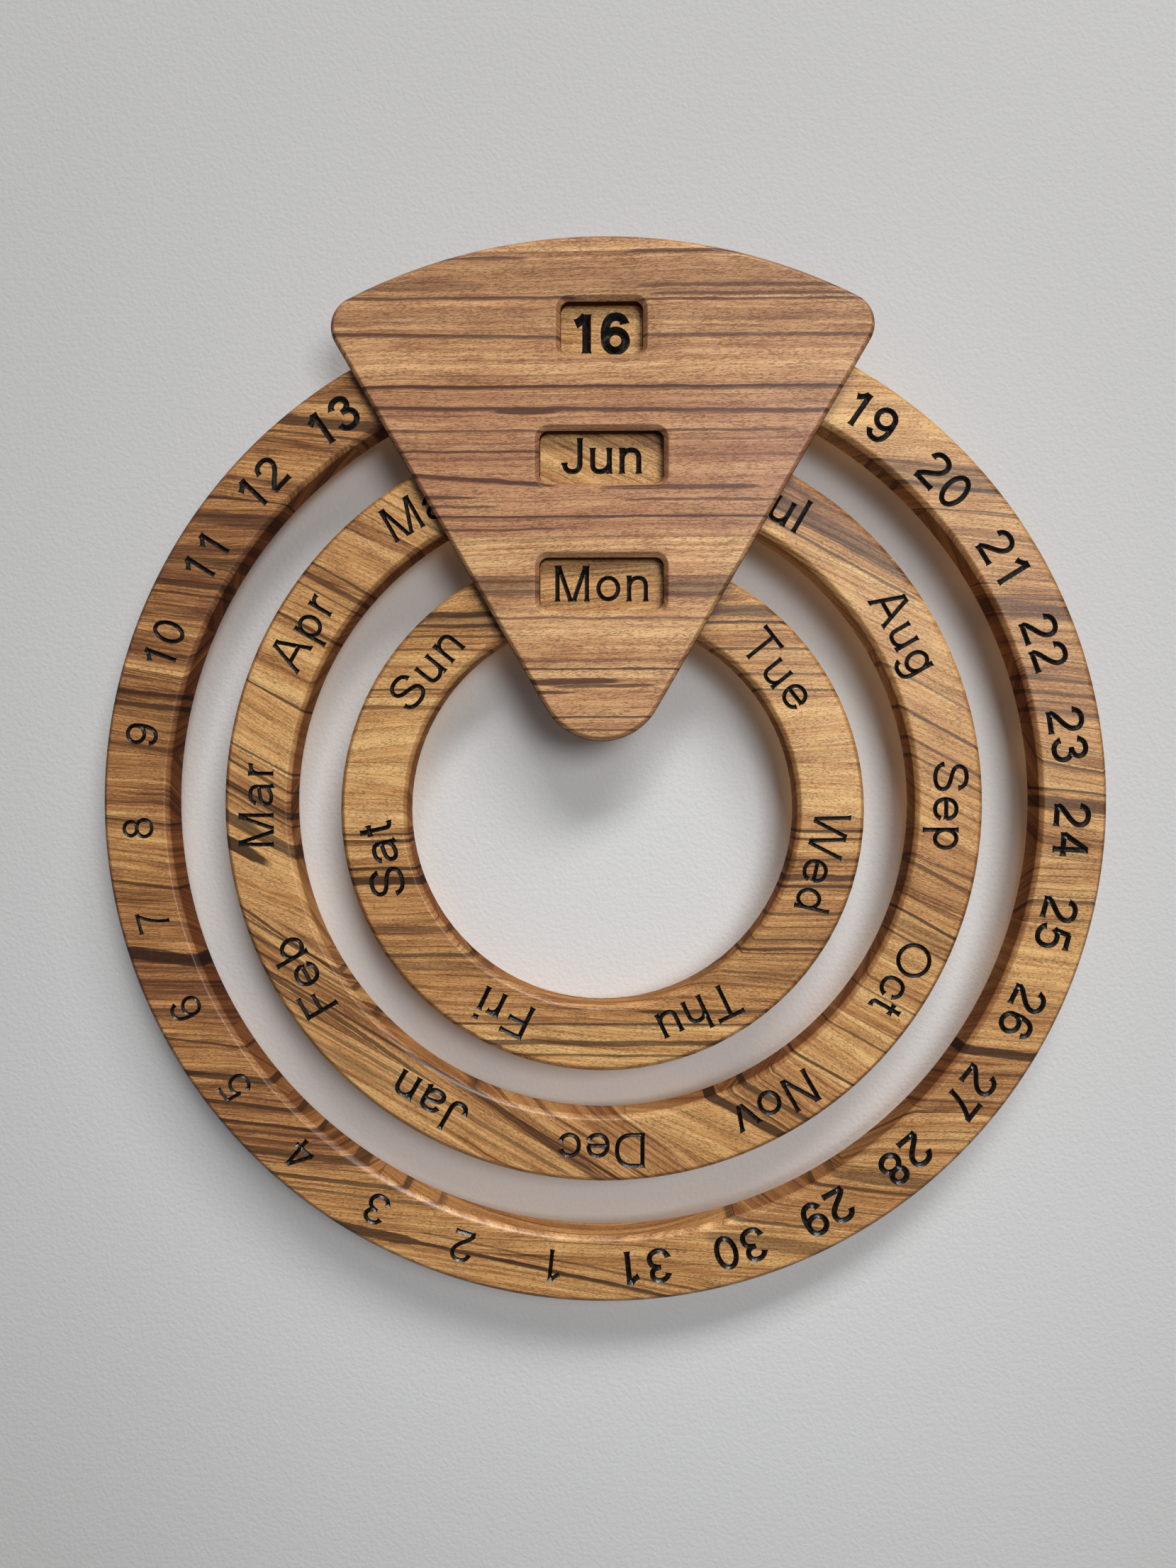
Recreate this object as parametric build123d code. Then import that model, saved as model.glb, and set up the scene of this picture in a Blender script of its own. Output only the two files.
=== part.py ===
from build123d import *
from dataclasses import dataclass
import math
import os

# A perpetual calendar of oiled hardwood that hangs on a wall. Three rings, for the date, the
# month and the day of the week, hang one inside another, each by its inner rim on an arc-topped
# hanger block. The blocks stand between a back plate and a sector-shaped face plate, whose three
# windows show whatever is at the top of each ring. The rings and the face plate are sawn from
# panels of boards glued edge to edge, and each board is a piece of its own here.
#
# Millimetres. +Z is up, +X is to the right of someone who reads the calendar, and +Y runs into the
# wall. Shapes are drawn around the centre of the face plate's arc, and then moved so that the
# origin is the centre of the keyhole's entry, on the plane of the wall.

# Rings
date_ring_diameter = 450.0
ring_width = 30.0  # from a ring's outer rim to its inner rim
ring_thickness = 17.0
date_month_gap = 25.0
month_day_gap = 22.5
rim_chamfer = 2.0

# How far each ring's centre hangs below the centre of the face plate's arc
date_hang_drop = 0.6
month_hang_drop = 0.6
day_hang_drop = 3.0

# How far each ring's boards run down to the right, in degrees
date_grain_angle = 6.5
month_grain_angle = 29.0
day_grain_angle = 0.0

# How far above each ring's centre one of its glued joints runs
date_joint_height = -0.5
month_joint_height = 1.4
day_joint_height = -8.0

# Each ring's diameter over the width of its boards
date_board_ratio = 15.25
month_board_ratio = 11.5
day_board_ratio = 8.0
least_end_board = 10.0  # a narrower strip at a ring's edge stays on the board beside it

# Face plate
face_thickness = 6.5
face_overhang = 24.0  # how far its arc stands out past the date ring
face_half_angle = 30.0
face_corner_radius = 13.5
face_tip_radius = 28.0
face_edge_chamfer = 1.8
face_joint_rise = 9.5  # from the top of the month ring up to the face plate's first joint
face_tip_board_height = 27.5

# Windows, measured inside their chamfers
date_window_length = 36.0
word_window_length = 54.5
window_height = 23.0
window_corner_radius = 3.8
window_chamfer = 2.2

# How far each window sits below the middle of its ring's rim, for someone who looks up at it
date_window_drop = 0.2
month_window_drop = 1.6
day_window_drop = 2.2

# Back plate and hanger blocks
back_plate_thickness = 9.0
back_plate_setback = 8.0  # from the face plate's edge to the back plate's
back_plate_chamfer = 1.5
side_clearance = 0.7  # between a ring and the plates before and behind it
seat_clearance = 0.3  # between a ring's rim and the top of its hanger block
foot_clearance = 2.5  # between a hanger block and the ring below it
hanger_half_angle = 20.0
hanger_corner_radius = 3.0
day_hanger_height = 25.0

# Wood screws through the back plate into the hanger blocks
plate_screw_length = 24.0
plate_screw_head_radius = 3.8
plate_screw_shank_radius = 1.9
plate_screw_angle = 12.0
screw_clearance = 0.05

# Steel keyhole plate, let into the back plate
keyhole_plate_length = 46.0
keyhole_plate_width = 17.0
keyhole_plate_thickness = 1.5
keyhole_plate_corner_radius = 3.0
keyhole_plate_rise = 4.5  # from the keyhole's entry up to the middle of the plate
keyhole_entry_radius = 4.5
keyhole_slot_radius = 2.25
keyhole_travel = 9.0  # from the entry up to where the wall screw comes to rest
keyhole_below_top = 31.0  # from the back plate's top edge down to the entry
keyhole_head_room_radius = 5.5
keyhole_head_room_depth = 5.0
keyhole_recess_clearance = 0.15
keyhole_screw_spacing = 36.0
keyhole_screw_length = 8.0
keyhole_screw_head_radius = 2.8
keyhole_screw_shank_radius = 1.4


@dataclass(frozen=True)
class Ring:
    """One ring, and the window that shows its top."""

    name: str
    outer_radius: float
    hang_drop: float
    grain_angle: float
    joint_height: float
    board_ratio: float
    window_length: float
    window_drop: float

    @property
    def inner_radius(self):
        return self.outer_radius - ring_width

    @property
    def joints(self):
        """Heights of its glued joints above its centre, from the top down."""
        width = 2 * self.outer_radius / self.board_ratio
        limit = self.outer_radius - least_end_board
        lowest = math.ceil((-limit - self.joint_height) / width)
        highest = math.floor((limit - self.joint_height) / width)
        return [self.joint_height + number * width for number in range(highest, lowest - 1, -1)]

    @property
    def saddle_radius(self):
        """Radius of the hanger block's arc, about the centre of the face plate's arc."""
        return self.inner_radius - self.hang_drop - seat_clearance

    @property
    def window_centre(self):
        """Height of the window's middle."""
        return self.outer_radius - ring_width / 2 - self.hang_drop - self.window_drop


date_radius = date_ring_diameter / 2
month_radius = date_radius - ring_width - date_month_gap
day_radius = month_radius - ring_width - month_day_gap

date_ring = Ring(
    name="date_ring",
    outer_radius=date_radius,
    hang_drop=date_hang_drop,
    grain_angle=date_grain_angle,
    joint_height=date_joint_height,
    board_ratio=date_board_ratio,
    window_length=date_window_length,
    window_drop=date_window_drop,
)
month_ring = Ring(
    name="month_ring",
    outer_radius=month_radius,
    hang_drop=month_hang_drop,
    grain_angle=month_grain_angle,
    joint_height=month_joint_height,
    board_ratio=month_board_ratio,
    window_length=word_window_length,
    window_drop=month_window_drop,
)
day_ring = Ring(
    name="day_ring",
    outer_radius=day_radius,
    hang_drop=day_hang_drop,
    grain_angle=day_grain_angle,
    joint_height=day_joint_height,
    board_ratio=day_board_ratio,
    window_length=word_window_length,
    window_drop=day_window_drop,
)

# Distances out from the wall
ring_back = back_plate_thickness + side_clearance
face_back = ring_back + ring_thickness + side_clearance

face_radius = date_radius + face_overhang
keyhole_height = face_radius - back_plate_setback - keyhole_below_top


def slab(outline, back, thickness):
    """Extrude a front view from the distance back off the wall towards the reader."""
    return extrude(Plane.XZ.offset(back) * outline, amount=thickness)


def boards(panel, joints, centre=0.0, tilt=0.0):
    """Saw a panel into its boards, at joints given as heights above its centre."""
    reach = 4 * face_radius
    pieces = []
    for upper, lower in zip([reach, *joints], [*joints, -reach]):
        strip = Pos(0, 0, (upper + lower) / 2) * Box(2 * reach, 2 * reach, upper - lower)
        pieces.append(panel & (Pos(0, 0, centre) * Rot(0, tilt, 0) * strip))
    return pieces


def ring_boards(ring):
    """The boards of one ring, from the top of its panel down."""
    annulus = Circle(ring.outer_radius) - Circle(ring.inner_radius)
    body = slab(Pos(0, -ring.hang_drop) * annulus, ring_back, ring_thickness)
    body = chamfer(body.edges().filter_by(GeomType.CIRCLE), rim_chamfer)
    return boards(body, ring.joints, -ring.hang_drop, ring.grain_angle)


def sector(radius):
    """A triangle with an arc for its top, standing on its point at the centre of the arc."""
    half_angle = math.radians(face_half_angle)
    side, height = radius * math.sin(half_angle), radius * math.cos(half_angle)
    top = ThreePointArc((side, height), (0, radius), (-side, height))
    outline = make_face([Line((0, 0), (side, height)), top, Line((-side, height), (0, 0))])
    outline = fillet(outline.vertices().sort_by(Axis.Y)[1:], face_corner_radius)
    return fillet(outline.vertices().sort_by(Axis.Y)[:1], face_tip_radius)


def face_boards():
    """The face plate's boards, with the windows in them."""
    outline = sector(face_radius)
    for ring in (date_ring, month_ring, day_ring):
        window = RectangleRounded(ring.window_length, window_height, window_corner_radius)
        outline -= Pos(0, ring.window_centre) * window
    body = slab(outline, face_back, face_thickness)
    front = body.faces().sort_by(Axis.Y)[0]
    body = chamfer(front.outer_wire().edges(), face_edge_chamfer)
    front = body.faces().sort_by(Axis.Y)[0]
    body = chamfer([edge for wire in front.inner_wires() for edge in wire.edges()], window_chamfer)

    tip = face_tip_radius / math.sin(math.radians(face_half_angle)) - face_tip_radius
    first_joint = month_ring.outer_radius + face_joint_rise
    return boards(body, [first_joint, day_ring.outer_radius, tip + face_tip_board_height])


def countersunk_screw(head_radius, shank_radius, length, clearance=0.0):
    """A wood screw with its head flush with the wall's plane, or with a clearance, its hole."""
    head, shank = head_radius + clearance, shank_radius + clearance
    point = length - 2 * shank_radius
    taper = head_radius - shank_radius
    profile = Polyline(
        (0, 0), (head, 0), (shank, taper), (shank, point), (0, length + clearance), close=True
    )
    return Rot(0, 0, 180) * revolve(make_face(profile), Axis.Y)


def plate_screws(places, clearance=0.0):
    """The screws at the given places, or the holes that they go in."""
    screw = countersunk_screw(
        plate_screw_head_radius, plate_screw_shank_radius, plate_screw_length, clearance
    )
    return [Pos(x, 0, z) * screw for x, z in places]


def keyhole_screws(clearance=0.0):
    """The keyhole plate's two screws, or the holes that they go in."""
    screw = countersunk_screw(
        keyhole_screw_head_radius, keyhole_screw_shank_radius, keyhole_screw_length, clearance
    )
    middle = keyhole_height + keyhole_plate_rise
    return [Pos(0, 0, middle + way * keyhole_screw_spacing / 2) * screw for way in (1, -1)]


def screw_places(ring, foot_radius):
    """Where the two screws of a ring's hanger block go."""
    middle = (ring.saddle_radius + foot_radius) / 2
    angle = math.radians(plate_screw_angle)
    return [(way * middle * math.sin(angle), middle * math.cos(angle)) for way in (-1, 1)]


def hanger_block(ring, foot_radius):
    """The block that a ring hangs on: an arched bar between its saddle and its foot."""
    reach = 2 * ring.saddle_radius
    angle = math.radians(hanger_half_angle)
    side, height = reach * math.sin(angle), reach * math.cos(angle)
    wedge = make_face(Polyline((0, 0), (side, height), (-side, height), close=True))
    outline = (Circle(ring.saddle_radius) - Circle(foot_radius)) & wedge
    outline = fillet(outline.vertices(), hanger_corner_radius)
    block = slab(outline, back_plate_thickness, face_back - back_plate_thickness)
    for hole in plate_screws(screw_places(ring, foot_radius), screw_clearance):
        block -= hole
    return block


def keyhole_recess():
    """The pocket for the keyhole plate, with room behind it for the wall screw's head."""
    plate = RectangleRounded(
        keyhole_plate_width + 2 * keyhole_recess_clearance,
        keyhole_plate_length + 2 * keyhole_recess_clearance,
        keyhole_plate_corner_radius + keyhole_recess_clearance,
    )
    head_room = Rot(0, 0, 90) * SlotCenterToCenter(keyhole_travel, 2 * keyhole_head_room_radius)
    recess = slab(Pos(0, keyhole_height + keyhole_plate_rise) * plate, 0, keyhole_plate_thickness)
    room = Pos(0, keyhole_height + keyhole_travel / 2) * head_room
    return recess + slab(room, 0, keyhole_plate_thickness + keyhole_head_room_depth)


def keyhole_plate():
    """A flat steel plate with a keyhole and a countersunk hole at each end."""
    plate = RectangleRounded(keyhole_plate_width, keyhole_plate_length, keyhole_plate_corner_radius)
    neck = Pos(0, keyhole_travel / 2) * Rectangle(2 * keyhole_slot_radius, keyhole_travel)
    seat = Pos(0, keyhole_travel) * Circle(keyhole_slot_radius)
    keyhole = Circle(keyhole_entry_radius) + neck + seat
    outline = Pos(0, keyhole_height) * (Pos(0, keyhole_plate_rise) * plate - keyhole)
    body = slab(outline, 0, keyhole_plate_thickness)
    for hole in keyhole_screws(screw_clearance):
        body -= hole
    return body


def back_plate(places):
    """The plate behind the rings, with its screw holes and the keyhole plate's pocket."""
    outline = offset(sector(face_radius), -back_plate_setback)
    body = slab(outline, 0, back_plate_thickness)
    body = chamfer(body.faces().sort_by(Axis.Y)[0].edges(), back_plate_chamfer)
    body -= keyhole_recess()
    for hole in plate_screws(places, screw_clearance) + keyhole_screws(screw_clearance):
        body -= hole
    return body


def save(node, pieces):
    """Write one node's solids, moved so that the keyhole's entry is the origin."""
    solids = [Pos(0, 0, -keyhole_height) * solid for piece in pieces for solid in piece.solids()]
    export_step(Compound(children=solids), f"parts/{node}.step")


os.makedirs("parts", exist_ok=True)

foot_radii = {
    date_ring: month_ring.outer_radius + foot_clearance,
    month_ring: day_ring.outer_radius + foot_clearance,
    day_ring: day_ring.saddle_radius - day_hanger_height,
}
all_screw_places = []
for ring, foot_radius in foot_radii.items():
    for number, board in enumerate(ring_boards(ring), start=1):
        save(f"{ring.name}_board_{number:02d}", [board])
    save(ring.name.replace("ring", "hanger"), [hanger_block(ring, foot_radius)])
    all_screw_places += screw_places(ring, foot_radius)

for number, board in enumerate(face_boards(), start=1):
    save(f"face_board_{number}", [board])
save("back_plate", [back_plate(all_screw_places)])
save("plate_screws", plate_screws(all_screw_places))
save("keyhole_plate", [keyhole_plate()])
save("keyhole_screws", keyhole_screws())
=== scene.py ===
"""Looks of a perpetual calendar of oiled hardwood that hangs on a wall.

Three rings, for the date, the month and the day of the week, hang one inside another behind a
sector-shaped face plate. Each ring is cut from a panel of boards glued edge to edge, and its
numbers or words are cut into it with a V-shaped cutter and painted black. Lengths in this file are
millimetres unless a name or a comment says otherwise, and Blender's own unit is the metre.
"""

import logging
import math
from dataclasses import dataclass
from enum import Enum
from functools import lru_cache
from typing import Any

import bmesh
import bpy
import numpy as np
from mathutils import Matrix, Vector
from mathutils.geometry import delaunay_2d_cdt


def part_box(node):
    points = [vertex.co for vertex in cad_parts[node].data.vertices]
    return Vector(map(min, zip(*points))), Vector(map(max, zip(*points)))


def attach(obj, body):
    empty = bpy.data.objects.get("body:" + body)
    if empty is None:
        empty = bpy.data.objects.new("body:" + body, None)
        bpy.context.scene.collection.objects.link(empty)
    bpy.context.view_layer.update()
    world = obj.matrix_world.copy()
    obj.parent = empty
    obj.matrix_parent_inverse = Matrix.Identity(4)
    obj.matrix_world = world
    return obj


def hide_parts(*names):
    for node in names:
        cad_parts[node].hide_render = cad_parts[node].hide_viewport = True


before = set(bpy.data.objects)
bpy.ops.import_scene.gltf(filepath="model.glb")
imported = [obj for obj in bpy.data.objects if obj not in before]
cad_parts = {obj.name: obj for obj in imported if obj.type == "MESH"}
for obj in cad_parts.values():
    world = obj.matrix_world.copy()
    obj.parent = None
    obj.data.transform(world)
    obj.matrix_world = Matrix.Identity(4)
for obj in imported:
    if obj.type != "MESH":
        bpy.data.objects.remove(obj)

log = logging.getLogger("calendar")
Array = np.ndarray
Socket = bpy.types.NodeSocket

METRE = 1000.0
WELD = 1e-4  # points nearer than this are one point
SLIVER = 4 * WELD  # a triangle less high than this is left out
SEAM = 3 * WELD  # how far apart two parts of a surface may be and still be joined
SMOOTH = math.radians(28.0)  # faces at a smaller angle than this are shaded as one
LIP = 0.4  # a flat strip beside a rounded edge, so that a flat face is shaded evenly
AHEAD = 5.0  # how far off a profile's next corner stands on a flat face
CURVE_POINTS = 40  # along each curve of a letter's middle line, before they are spaced evenly


# ---------------------------------------------------------------- letters

NOMINAL_HALF_STROKE = 0.066  # the half width that the letters' middle lines are drawn for


@dataclass(frozen=True)
class Glyph:
    """A letter or numeral, drawn by the middle lines of its strokes.

    Lengths are shares of a capital's height, from the foot of the letter's left side.
    A path is written as in a drawing program: M starts it, L draws a line, C a cubic curve with two
    handles, and A an arc of an ellipse, given by its half width, half height, first and last angle.
    D is a slanting bar whose ends are cut level, from one end's place to the other's.
    """

    advance: float
    strokes: tuple[str, ...]


ARCH = "M .155 .38 C .155 .56 .27 .659 .40 .659 C .54 .659 .62 .58 .62 .43 L .62 0"
RIGHT_BOWL = "M .405 .659 A .25 .2965 90 450"
LEFT_BOWL = "M .37 .659 A .25 .2965 90 450"
SHORT_STEM = "M .155 0 L .155 .725"
TALL_STEM = "M .155 0 L .155 1"

GLYPHS = {
    "0": Glyph(0.777, ("M .388 .934 A .266 .434 90 450",)),
    "1": Glyph(0.777, ("M .175 .755 C .30 .805 .385 .88 .43 .985", "M .462 0 L .462 1")),
    "2": Glyph(0.777, (
        "M .115 .70 C .125 .86 .23 .934 .385 .934 C .54 .934 .635 .845 .635 .72 "
        "C .635 .60 .56 .51 .43 .40 C .29 .285 .16 .20 .125 .085",
        "M .085 .066 L .71 .066",
    )),
    "3": Glyph(0.777, (
        "M .115 .735 C .145 .87 .24 .934 .365 .934 C .50 .934 .595 .855 .595 .745 "
        "C .595 .62 .50 .55 .32 .545",
        "M .32 .545 C .54 .545 .64 .45 .64 .31 C .64 .165 .53 .066 .365 .066 "
        "C .215 .066 .12 .15 .10 .28",
    )),
    "4": Glyph(0.777, ("M .525 0 L .525 .985", "M .05 .295 L .72 .295", "M .09 .30 L .50 .935")),
    "5": Glyph(0.777, (
        "M .20 .934 L .67 .934",
        "M .215 .96 L .155 .50",
        "M .125 .48 C .20 .58 .28 .625 .385 .625 C .55 .625 .65 .51 .65 .345 "
        "C .65 .18 .54 .066 .37 .066 C .22 .066 .115 .145 .10 .265",
    )),
    "6": Glyph(0.777, (
        "M .625 .745 C .60 .87 .52 .934 .405 .934 C .22 .934 .12 .78 .12 .48 "
        "C .12 .40 .125 .34 .15 .27",
        "M .39 .574 A .26 .254 90 450",
    )),
    "7": Glyph(0.777, ("M .08 .934 L .71 .934", "M .655 .92 C .50 .75 .33 .42 .30 0")),
    "8": Glyph(0.777, ("M .388 .934 A .22 .199 90 450", "M .388 .544 A .265 .239 90 450")),
    "9": Glyph(0.777, (
        "M .15 .255 C .175 .13 .255 .066 .37 .066 C .555 .066 .655 .22 .655 .52 "
        "C .655 .60 .65 .66 .625 .73",
        "M .385 .934 A .26 .254 90 450",
    )),
    "A": Glyph(0.932, ("D .075 0 .43 1", "D .857 0 .502 1", "M .22 .35 L .71 .35")),
    "D": Glyph(1.008, (
        "M .175 0 L .175 1",
        "M .175 .934 L .46 .934 C .76 .934 .89 .77 .89 .50 "
        "C .89 .23 .76 .066 .46 .066 L .175 .066",
    )),
    "F": Glyph(0.853, ("M .18 0 L .18 1", "M .18 .934 L .79 .934", "M .18 .515 L .70 .515")),
    "J": Glyph(0.698, (
        "M .53 1 L .53 .30 C .53 .14 .45 .066 .32 .066 C .18 .066 .10 .15 .10 .32",
    )),
    "M": Glyph(1.163, (
        "M .17 0 L .17 1", "M .99 0 L .99 1", "D .20 1 .545 0", "D .96 1 .615 0",
    )),
    "N": Glyph(1.008, ("M .175 0 L .175 1", "M .84 0 L .84 1", "D .20 1 .815 0")),
    "O": Glyph(1.087, ("M .54 .934 A .43 .434 90 450",)),
    "S": Glyph(0.932, (
        "M .77 .70 C .755 .86 .64 .934 .46 .934 C .28 .934 .17 .85 .17 .73 "
        "C .17 .60 .29 .555 .46 .515 C .66 .47 .80 .42 .80 .275 "
        "C .80 .145 .67 .066 .475 .066 C .25 .066 .125 .16 .11 .32",
    )),
    "T": Glyph(0.853, ("M .03 .934 L .82 .934", "M .425 0 L .425 .96")),
    "W": Glyph(1.318, ("D .07 1 .325 0", "D .625 1 .365 0", "D .695 1 .955 0", "D 1.25 1 .995 0")),
    "a": Glyph(0.777, (
        "M .13 .50 C .15 .61 .24 .659 .37 .659 C .53 .659 .60 .60 .60 .47 L .60 .14 "
        "C .60 .08 .61 .04 .635 0",
        "M .60 .42 C .50 .40 .36 .395 .27 .37 C .16 .34 .105 .285 .105 .205 "
        "C .105 .115 .18 .066 .30 .066 C .45 .066 .60 .155 .60 .31",
    )),
    "b": Glyph(0.777, (TALL_STEM, RIGHT_BOWL)),
    "c": Glyph(0.698, (
        "M .62 .475 C .585 .60 .49 .659 .38 .659 C .21 .659 .11 .54 .11 .36 "
        "C .11 .18 .21 .066 .375 .066 C .50 .066 .60 .135 .63 .27",
    )),
    "d": Glyph(0.777, ("M .62 0 L .62 1", LEFT_BOWL)),
    "e": Glyph(0.777, (
        "M .115 .375 L .68 .375",
        "M .655 .375 C .655 .56 .55 .659 .39 .659 C .22 .659 .115 .54 .115 .36 "
        "C .115 .18 .22 .066 .39 .066 C .52 .066 .61 .12 .645 .23",
    )),
    "g": Glyph(0.777, (
        LEFT_BOWL,
        "M .62 .725 L .62 .06 C .62 -.13 .53 -.225 .36 -.225 C .22 -.225 .14 -.17 .13 -.06",
    )),
    "h": Glyph(0.777, (TALL_STEM, ARCH)),
    "i": Glyph(0.310, (SHORT_STEM, "M .155 .86 L .155 1")),
    "l": Glyph(0.310, (TALL_STEM,)),
    "n": Glyph(0.777, (SHORT_STEM, ARCH)),
    "o": Glyph(0.777, ("M .388 .659 A .275 .2965 90 450",)),
    "p": Glyph(0.777, ("M .155 -.275 L .155 .725", RIGHT_BOWL)),
    "r": Glyph(0.465, (SHORT_STEM, "M .155 .40 C .17 .58 .27 .675 .445 .635")),
    "t": Glyph(0.388, ("M .19 .93 L .19 .20 C .19 .08 .25 .055 .38 .072", "M .03 .66 L .36 .66")),
    "u": Glyph(0.777, (
        "M .15 .725 L .15 .27 C .15 .13 .22 .066 .355 .066 C .50 .066 .615 .17 .615 .33",
        "M .615 0 L .615 .725",
    )),
    "v": Glyph(0.698, ("D .06 .725 .32 0", "D .64 .725 .38 0")),
    "y": Glyph(0.698, (
        "D .06 .725 .33 .02",
        "D .64 .725 .37 0",
        "M .395 .06 C .33 -.13 .29 -.225 .18 -.225 L .10 -.22",
    )),
}


def within(points: Array, corners: Array, edges: Array) -> Array:
    """Whether each point lies inside an outline.

    A line from the point to the right crosses the outline an odd number of times. Where an edge
    spans the point's height, it is crossed at x = x0 + (y - y0) (x1 - x0) / (y1 - y0).

    Args:
        points: The points, one a row.
        corners: The outline's corners.
        edges: Pairs of corners that the outline joins.

    Returns:
        One truth value a point.
    """
    start, end = corners[edges[:, 0]], corners[edges[:, 1]]
    x, y = points[:, None, 0], points[:, None, 1]
    spans = (start[:, 1] > y) != (end[:, 1] > y)
    rise = np.where(start[:, 1] == end[:, 1], 1.0, end[:, 1] - start[:, 1])
    crossing = start[:, 0] + (y - start[:, 1]) * (end[:, 0] - start[:, 0]) / rise
    return (spans & (x < crossing)).sum(axis=1) % 2 == 1


def closed_edges(count: int, first: int = 0) -> Array:
    """Pairs that join a run of points, and its last point to its first."""
    numbers = np.arange(count)
    return np.stack([numbers, np.roll(numbers, -1)], axis=1) + first


def distance_to_edges(points: Array, corners: Array, edges: Array) -> Array:
    """Distance from each point to the nearest edge.

    The nearest place on an edge from a to b is a + t (b - a), where t is the share of the edge
    that the point's foot stands at, held between 0 and 1.

    Args:
        points: The points, one a row.
        corners: The edges' corners.
        edges: Pairs of corners.

    Returns:
        One distance a point.
    """
    start, along = corners[edges[:, 0]], corners[edges[:, 1]] - corners[edges[:, 0]]
    offset = points[:, None, :] - start
    share = (offset * along).sum(axis=2) / np.maximum((along**2).sum(axis=1), WELD**2)
    foot = offset - np.clip(share, 0.0, 1.0)[:, :, None] * along
    return np.sqrt((foot**2).sum(axis=2)).min(axis=1)


def triangulate(points: Array, edges: Array) -> tuple[Array, Array]:
    """Split the hull of some points into triangles whose sides include the given edges.

    A triangle's height over its longest side is the cross product of two sides over that side's
    length.

    Args:
        points: The points, one a row.
        edges: Pairs of points.

    Returns:
        The points, with one where two edges cross, and the triangles, anticlockwise.
    """
    corners, _, faces, _, _, _ = delaunay_2d_cdt(
        [Vector(point) for point in points.tolist()], edges.tolist(), [], 0, WELD / 10, False
    )
    corners, faces = np.array([tuple(corner) for corner in corners]), np.array(faces)
    first, second, third = (corners[faces[:, i]] for i in range(3))
    turn = np.cross(second - first, third - first)
    sides = np.stack([second - first, third - second, first - third])
    wide = np.abs(turn) > SLIVER * np.linalg.norm(sides, axis=2).max(axis=0)
    faces, backward = faces[wide], turn[wide] < 0
    faces[backward] = faces[backward][:, ::-1]
    return corners, faces


def rim_of(triangles: Array) -> Array:
    """The edges that belong to one triangle only."""
    sides = np.concatenate([triangles[:, [0, 1]], triangles[:, [1, 2]], triangles[:, [2, 0]]])
    sides, uses = np.unique(np.sort(sides, axis=1), axis=0, return_counts=True)
    return sides[uses == 1]


def divide(steps: Array, spacing: float) -> tuple[Array, Array, Array]:
    """Divide steps into equal parts, n = ceil(length / spacing) of them.

    Args:
        steps: The steps, as vectors, one a row.
        spacing: The longest that a part may be.

    Returns:
        For each part the number of its step, and the shares of it where the part starts and ends.
    """
    parts = np.ceil(np.linalg.norm(steps, axis=1) / spacing).astype(int).clip(1)
    which = np.repeat(np.arange(len(parts)), parts)
    part = np.arange(len(which)) - np.repeat(np.cumsum(parts) - parts, parts)
    start = (part / parts[which])[:, None]
    return which, start, start + 1 / parts[which][:, None]


def subdivide(points: Array, edges: Array, spacing: float) -> tuple[Array, Array]:
    """Cut long edges into equal parts.

    The place at a share t of an edge from a to b is a + t (b - a).

    Args:
        points: The points, one a row.
        edges: Pairs of points.
        spacing: The longest that an edge may stay.

    Returns:
        The points of all the parts, and the parts as pairs of them.
    """
    start, step = points[edges[:, 0]], points[edges[:, 1]] - points[edges[:, 0]]
    edge, *shares = divide(step, spacing)
    both, index = weld(np.concatenate([start[edge] + share * step[edge] for share in shares]))
    return both, index.reshape(2, -1).T


def weld(points: Array) -> tuple[Array, Array]:
    """Make one point of those that lie together.

    Returns:
        The points kept, and for each old point the number of the one that stands for it.
    """
    _, kept, index = np.unique(
        np.round(points / WELD).astype(np.int64), axis=0, return_index=True, return_inverse=True
    )
    return points[kept], index.reshape(-1)


def trace(path: str, spacing: float) -> Array:
    """Evenly spaced points along a stroke's middle line, written as Glyph says.

    A cubic curve is the sum of its four points times (1-t)^3, 3t(1-t)^2, 3t^2(1-t) and t^3. An arc
    is its centre plus (half width cos a, half height sin a).

    Args:
        path: The middle line.
        spacing: Distance between points, as a share of a capital's height.

    Returns:
        The points, one a row.
    """
    words = path.split()
    lengths = {"M": 2, "L": 2, "C": 6, "A": 4}
    t = np.linspace(0.0, 1.0, CURVE_POINTS)[:, None]
    runs, here = [], np.zeros(2)
    while words:
        command, count = words[0], lengths[words[0]]
        values = np.array([float(word) for word in words[1 : 1 + count]])
        words = words[1 + count :]
        if command == "M":
            run = values[None]
        elif command == "L":
            run = here + t * (values - here)
        elif command == "C":
            near, far, end = values[:2], values[2:4], values[4:]
            run = (1 - t) ** 3 * here + 3 * t * (1 - t) ** 2 * near
            run = run + 3 * t**2 * (1 - t) * far + t**3 * end
        else:
            size, angle = values[:2], np.radians(values[2] + t * (values[3] - values[2]))
            circle = np.concatenate([np.cos(angle), np.sin(angle)], axis=1)
            run = here + size * (circle - circle[0])
        runs.append(run if command == "M" else run[1:])
        here = run[-1]
    points = np.concatenate(runs)
    travelled = np.concatenate([[0.0], np.cumsum(np.linalg.norm(np.diff(points, axis=0), axis=1))])
    even = np.linspace(0.0, travelled[-1], max(3, round(travelled[-1] / spacing) + 1))
    return np.stack([np.interp(even, travelled, points[:, axis]) for axis in (0, 1)], axis=1)


@dataclass(frozen=True)
class Groove:
    """One letter as the cutter leaves it, in millimetres.

    rim holds the points along its edges, edges joins them in pairs, and floor holds the points
    along the bottom of the groove, which are as far from the rim on one side as on the other.
    """

    rim: Array
    edges: Array
    floor: Array


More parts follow.
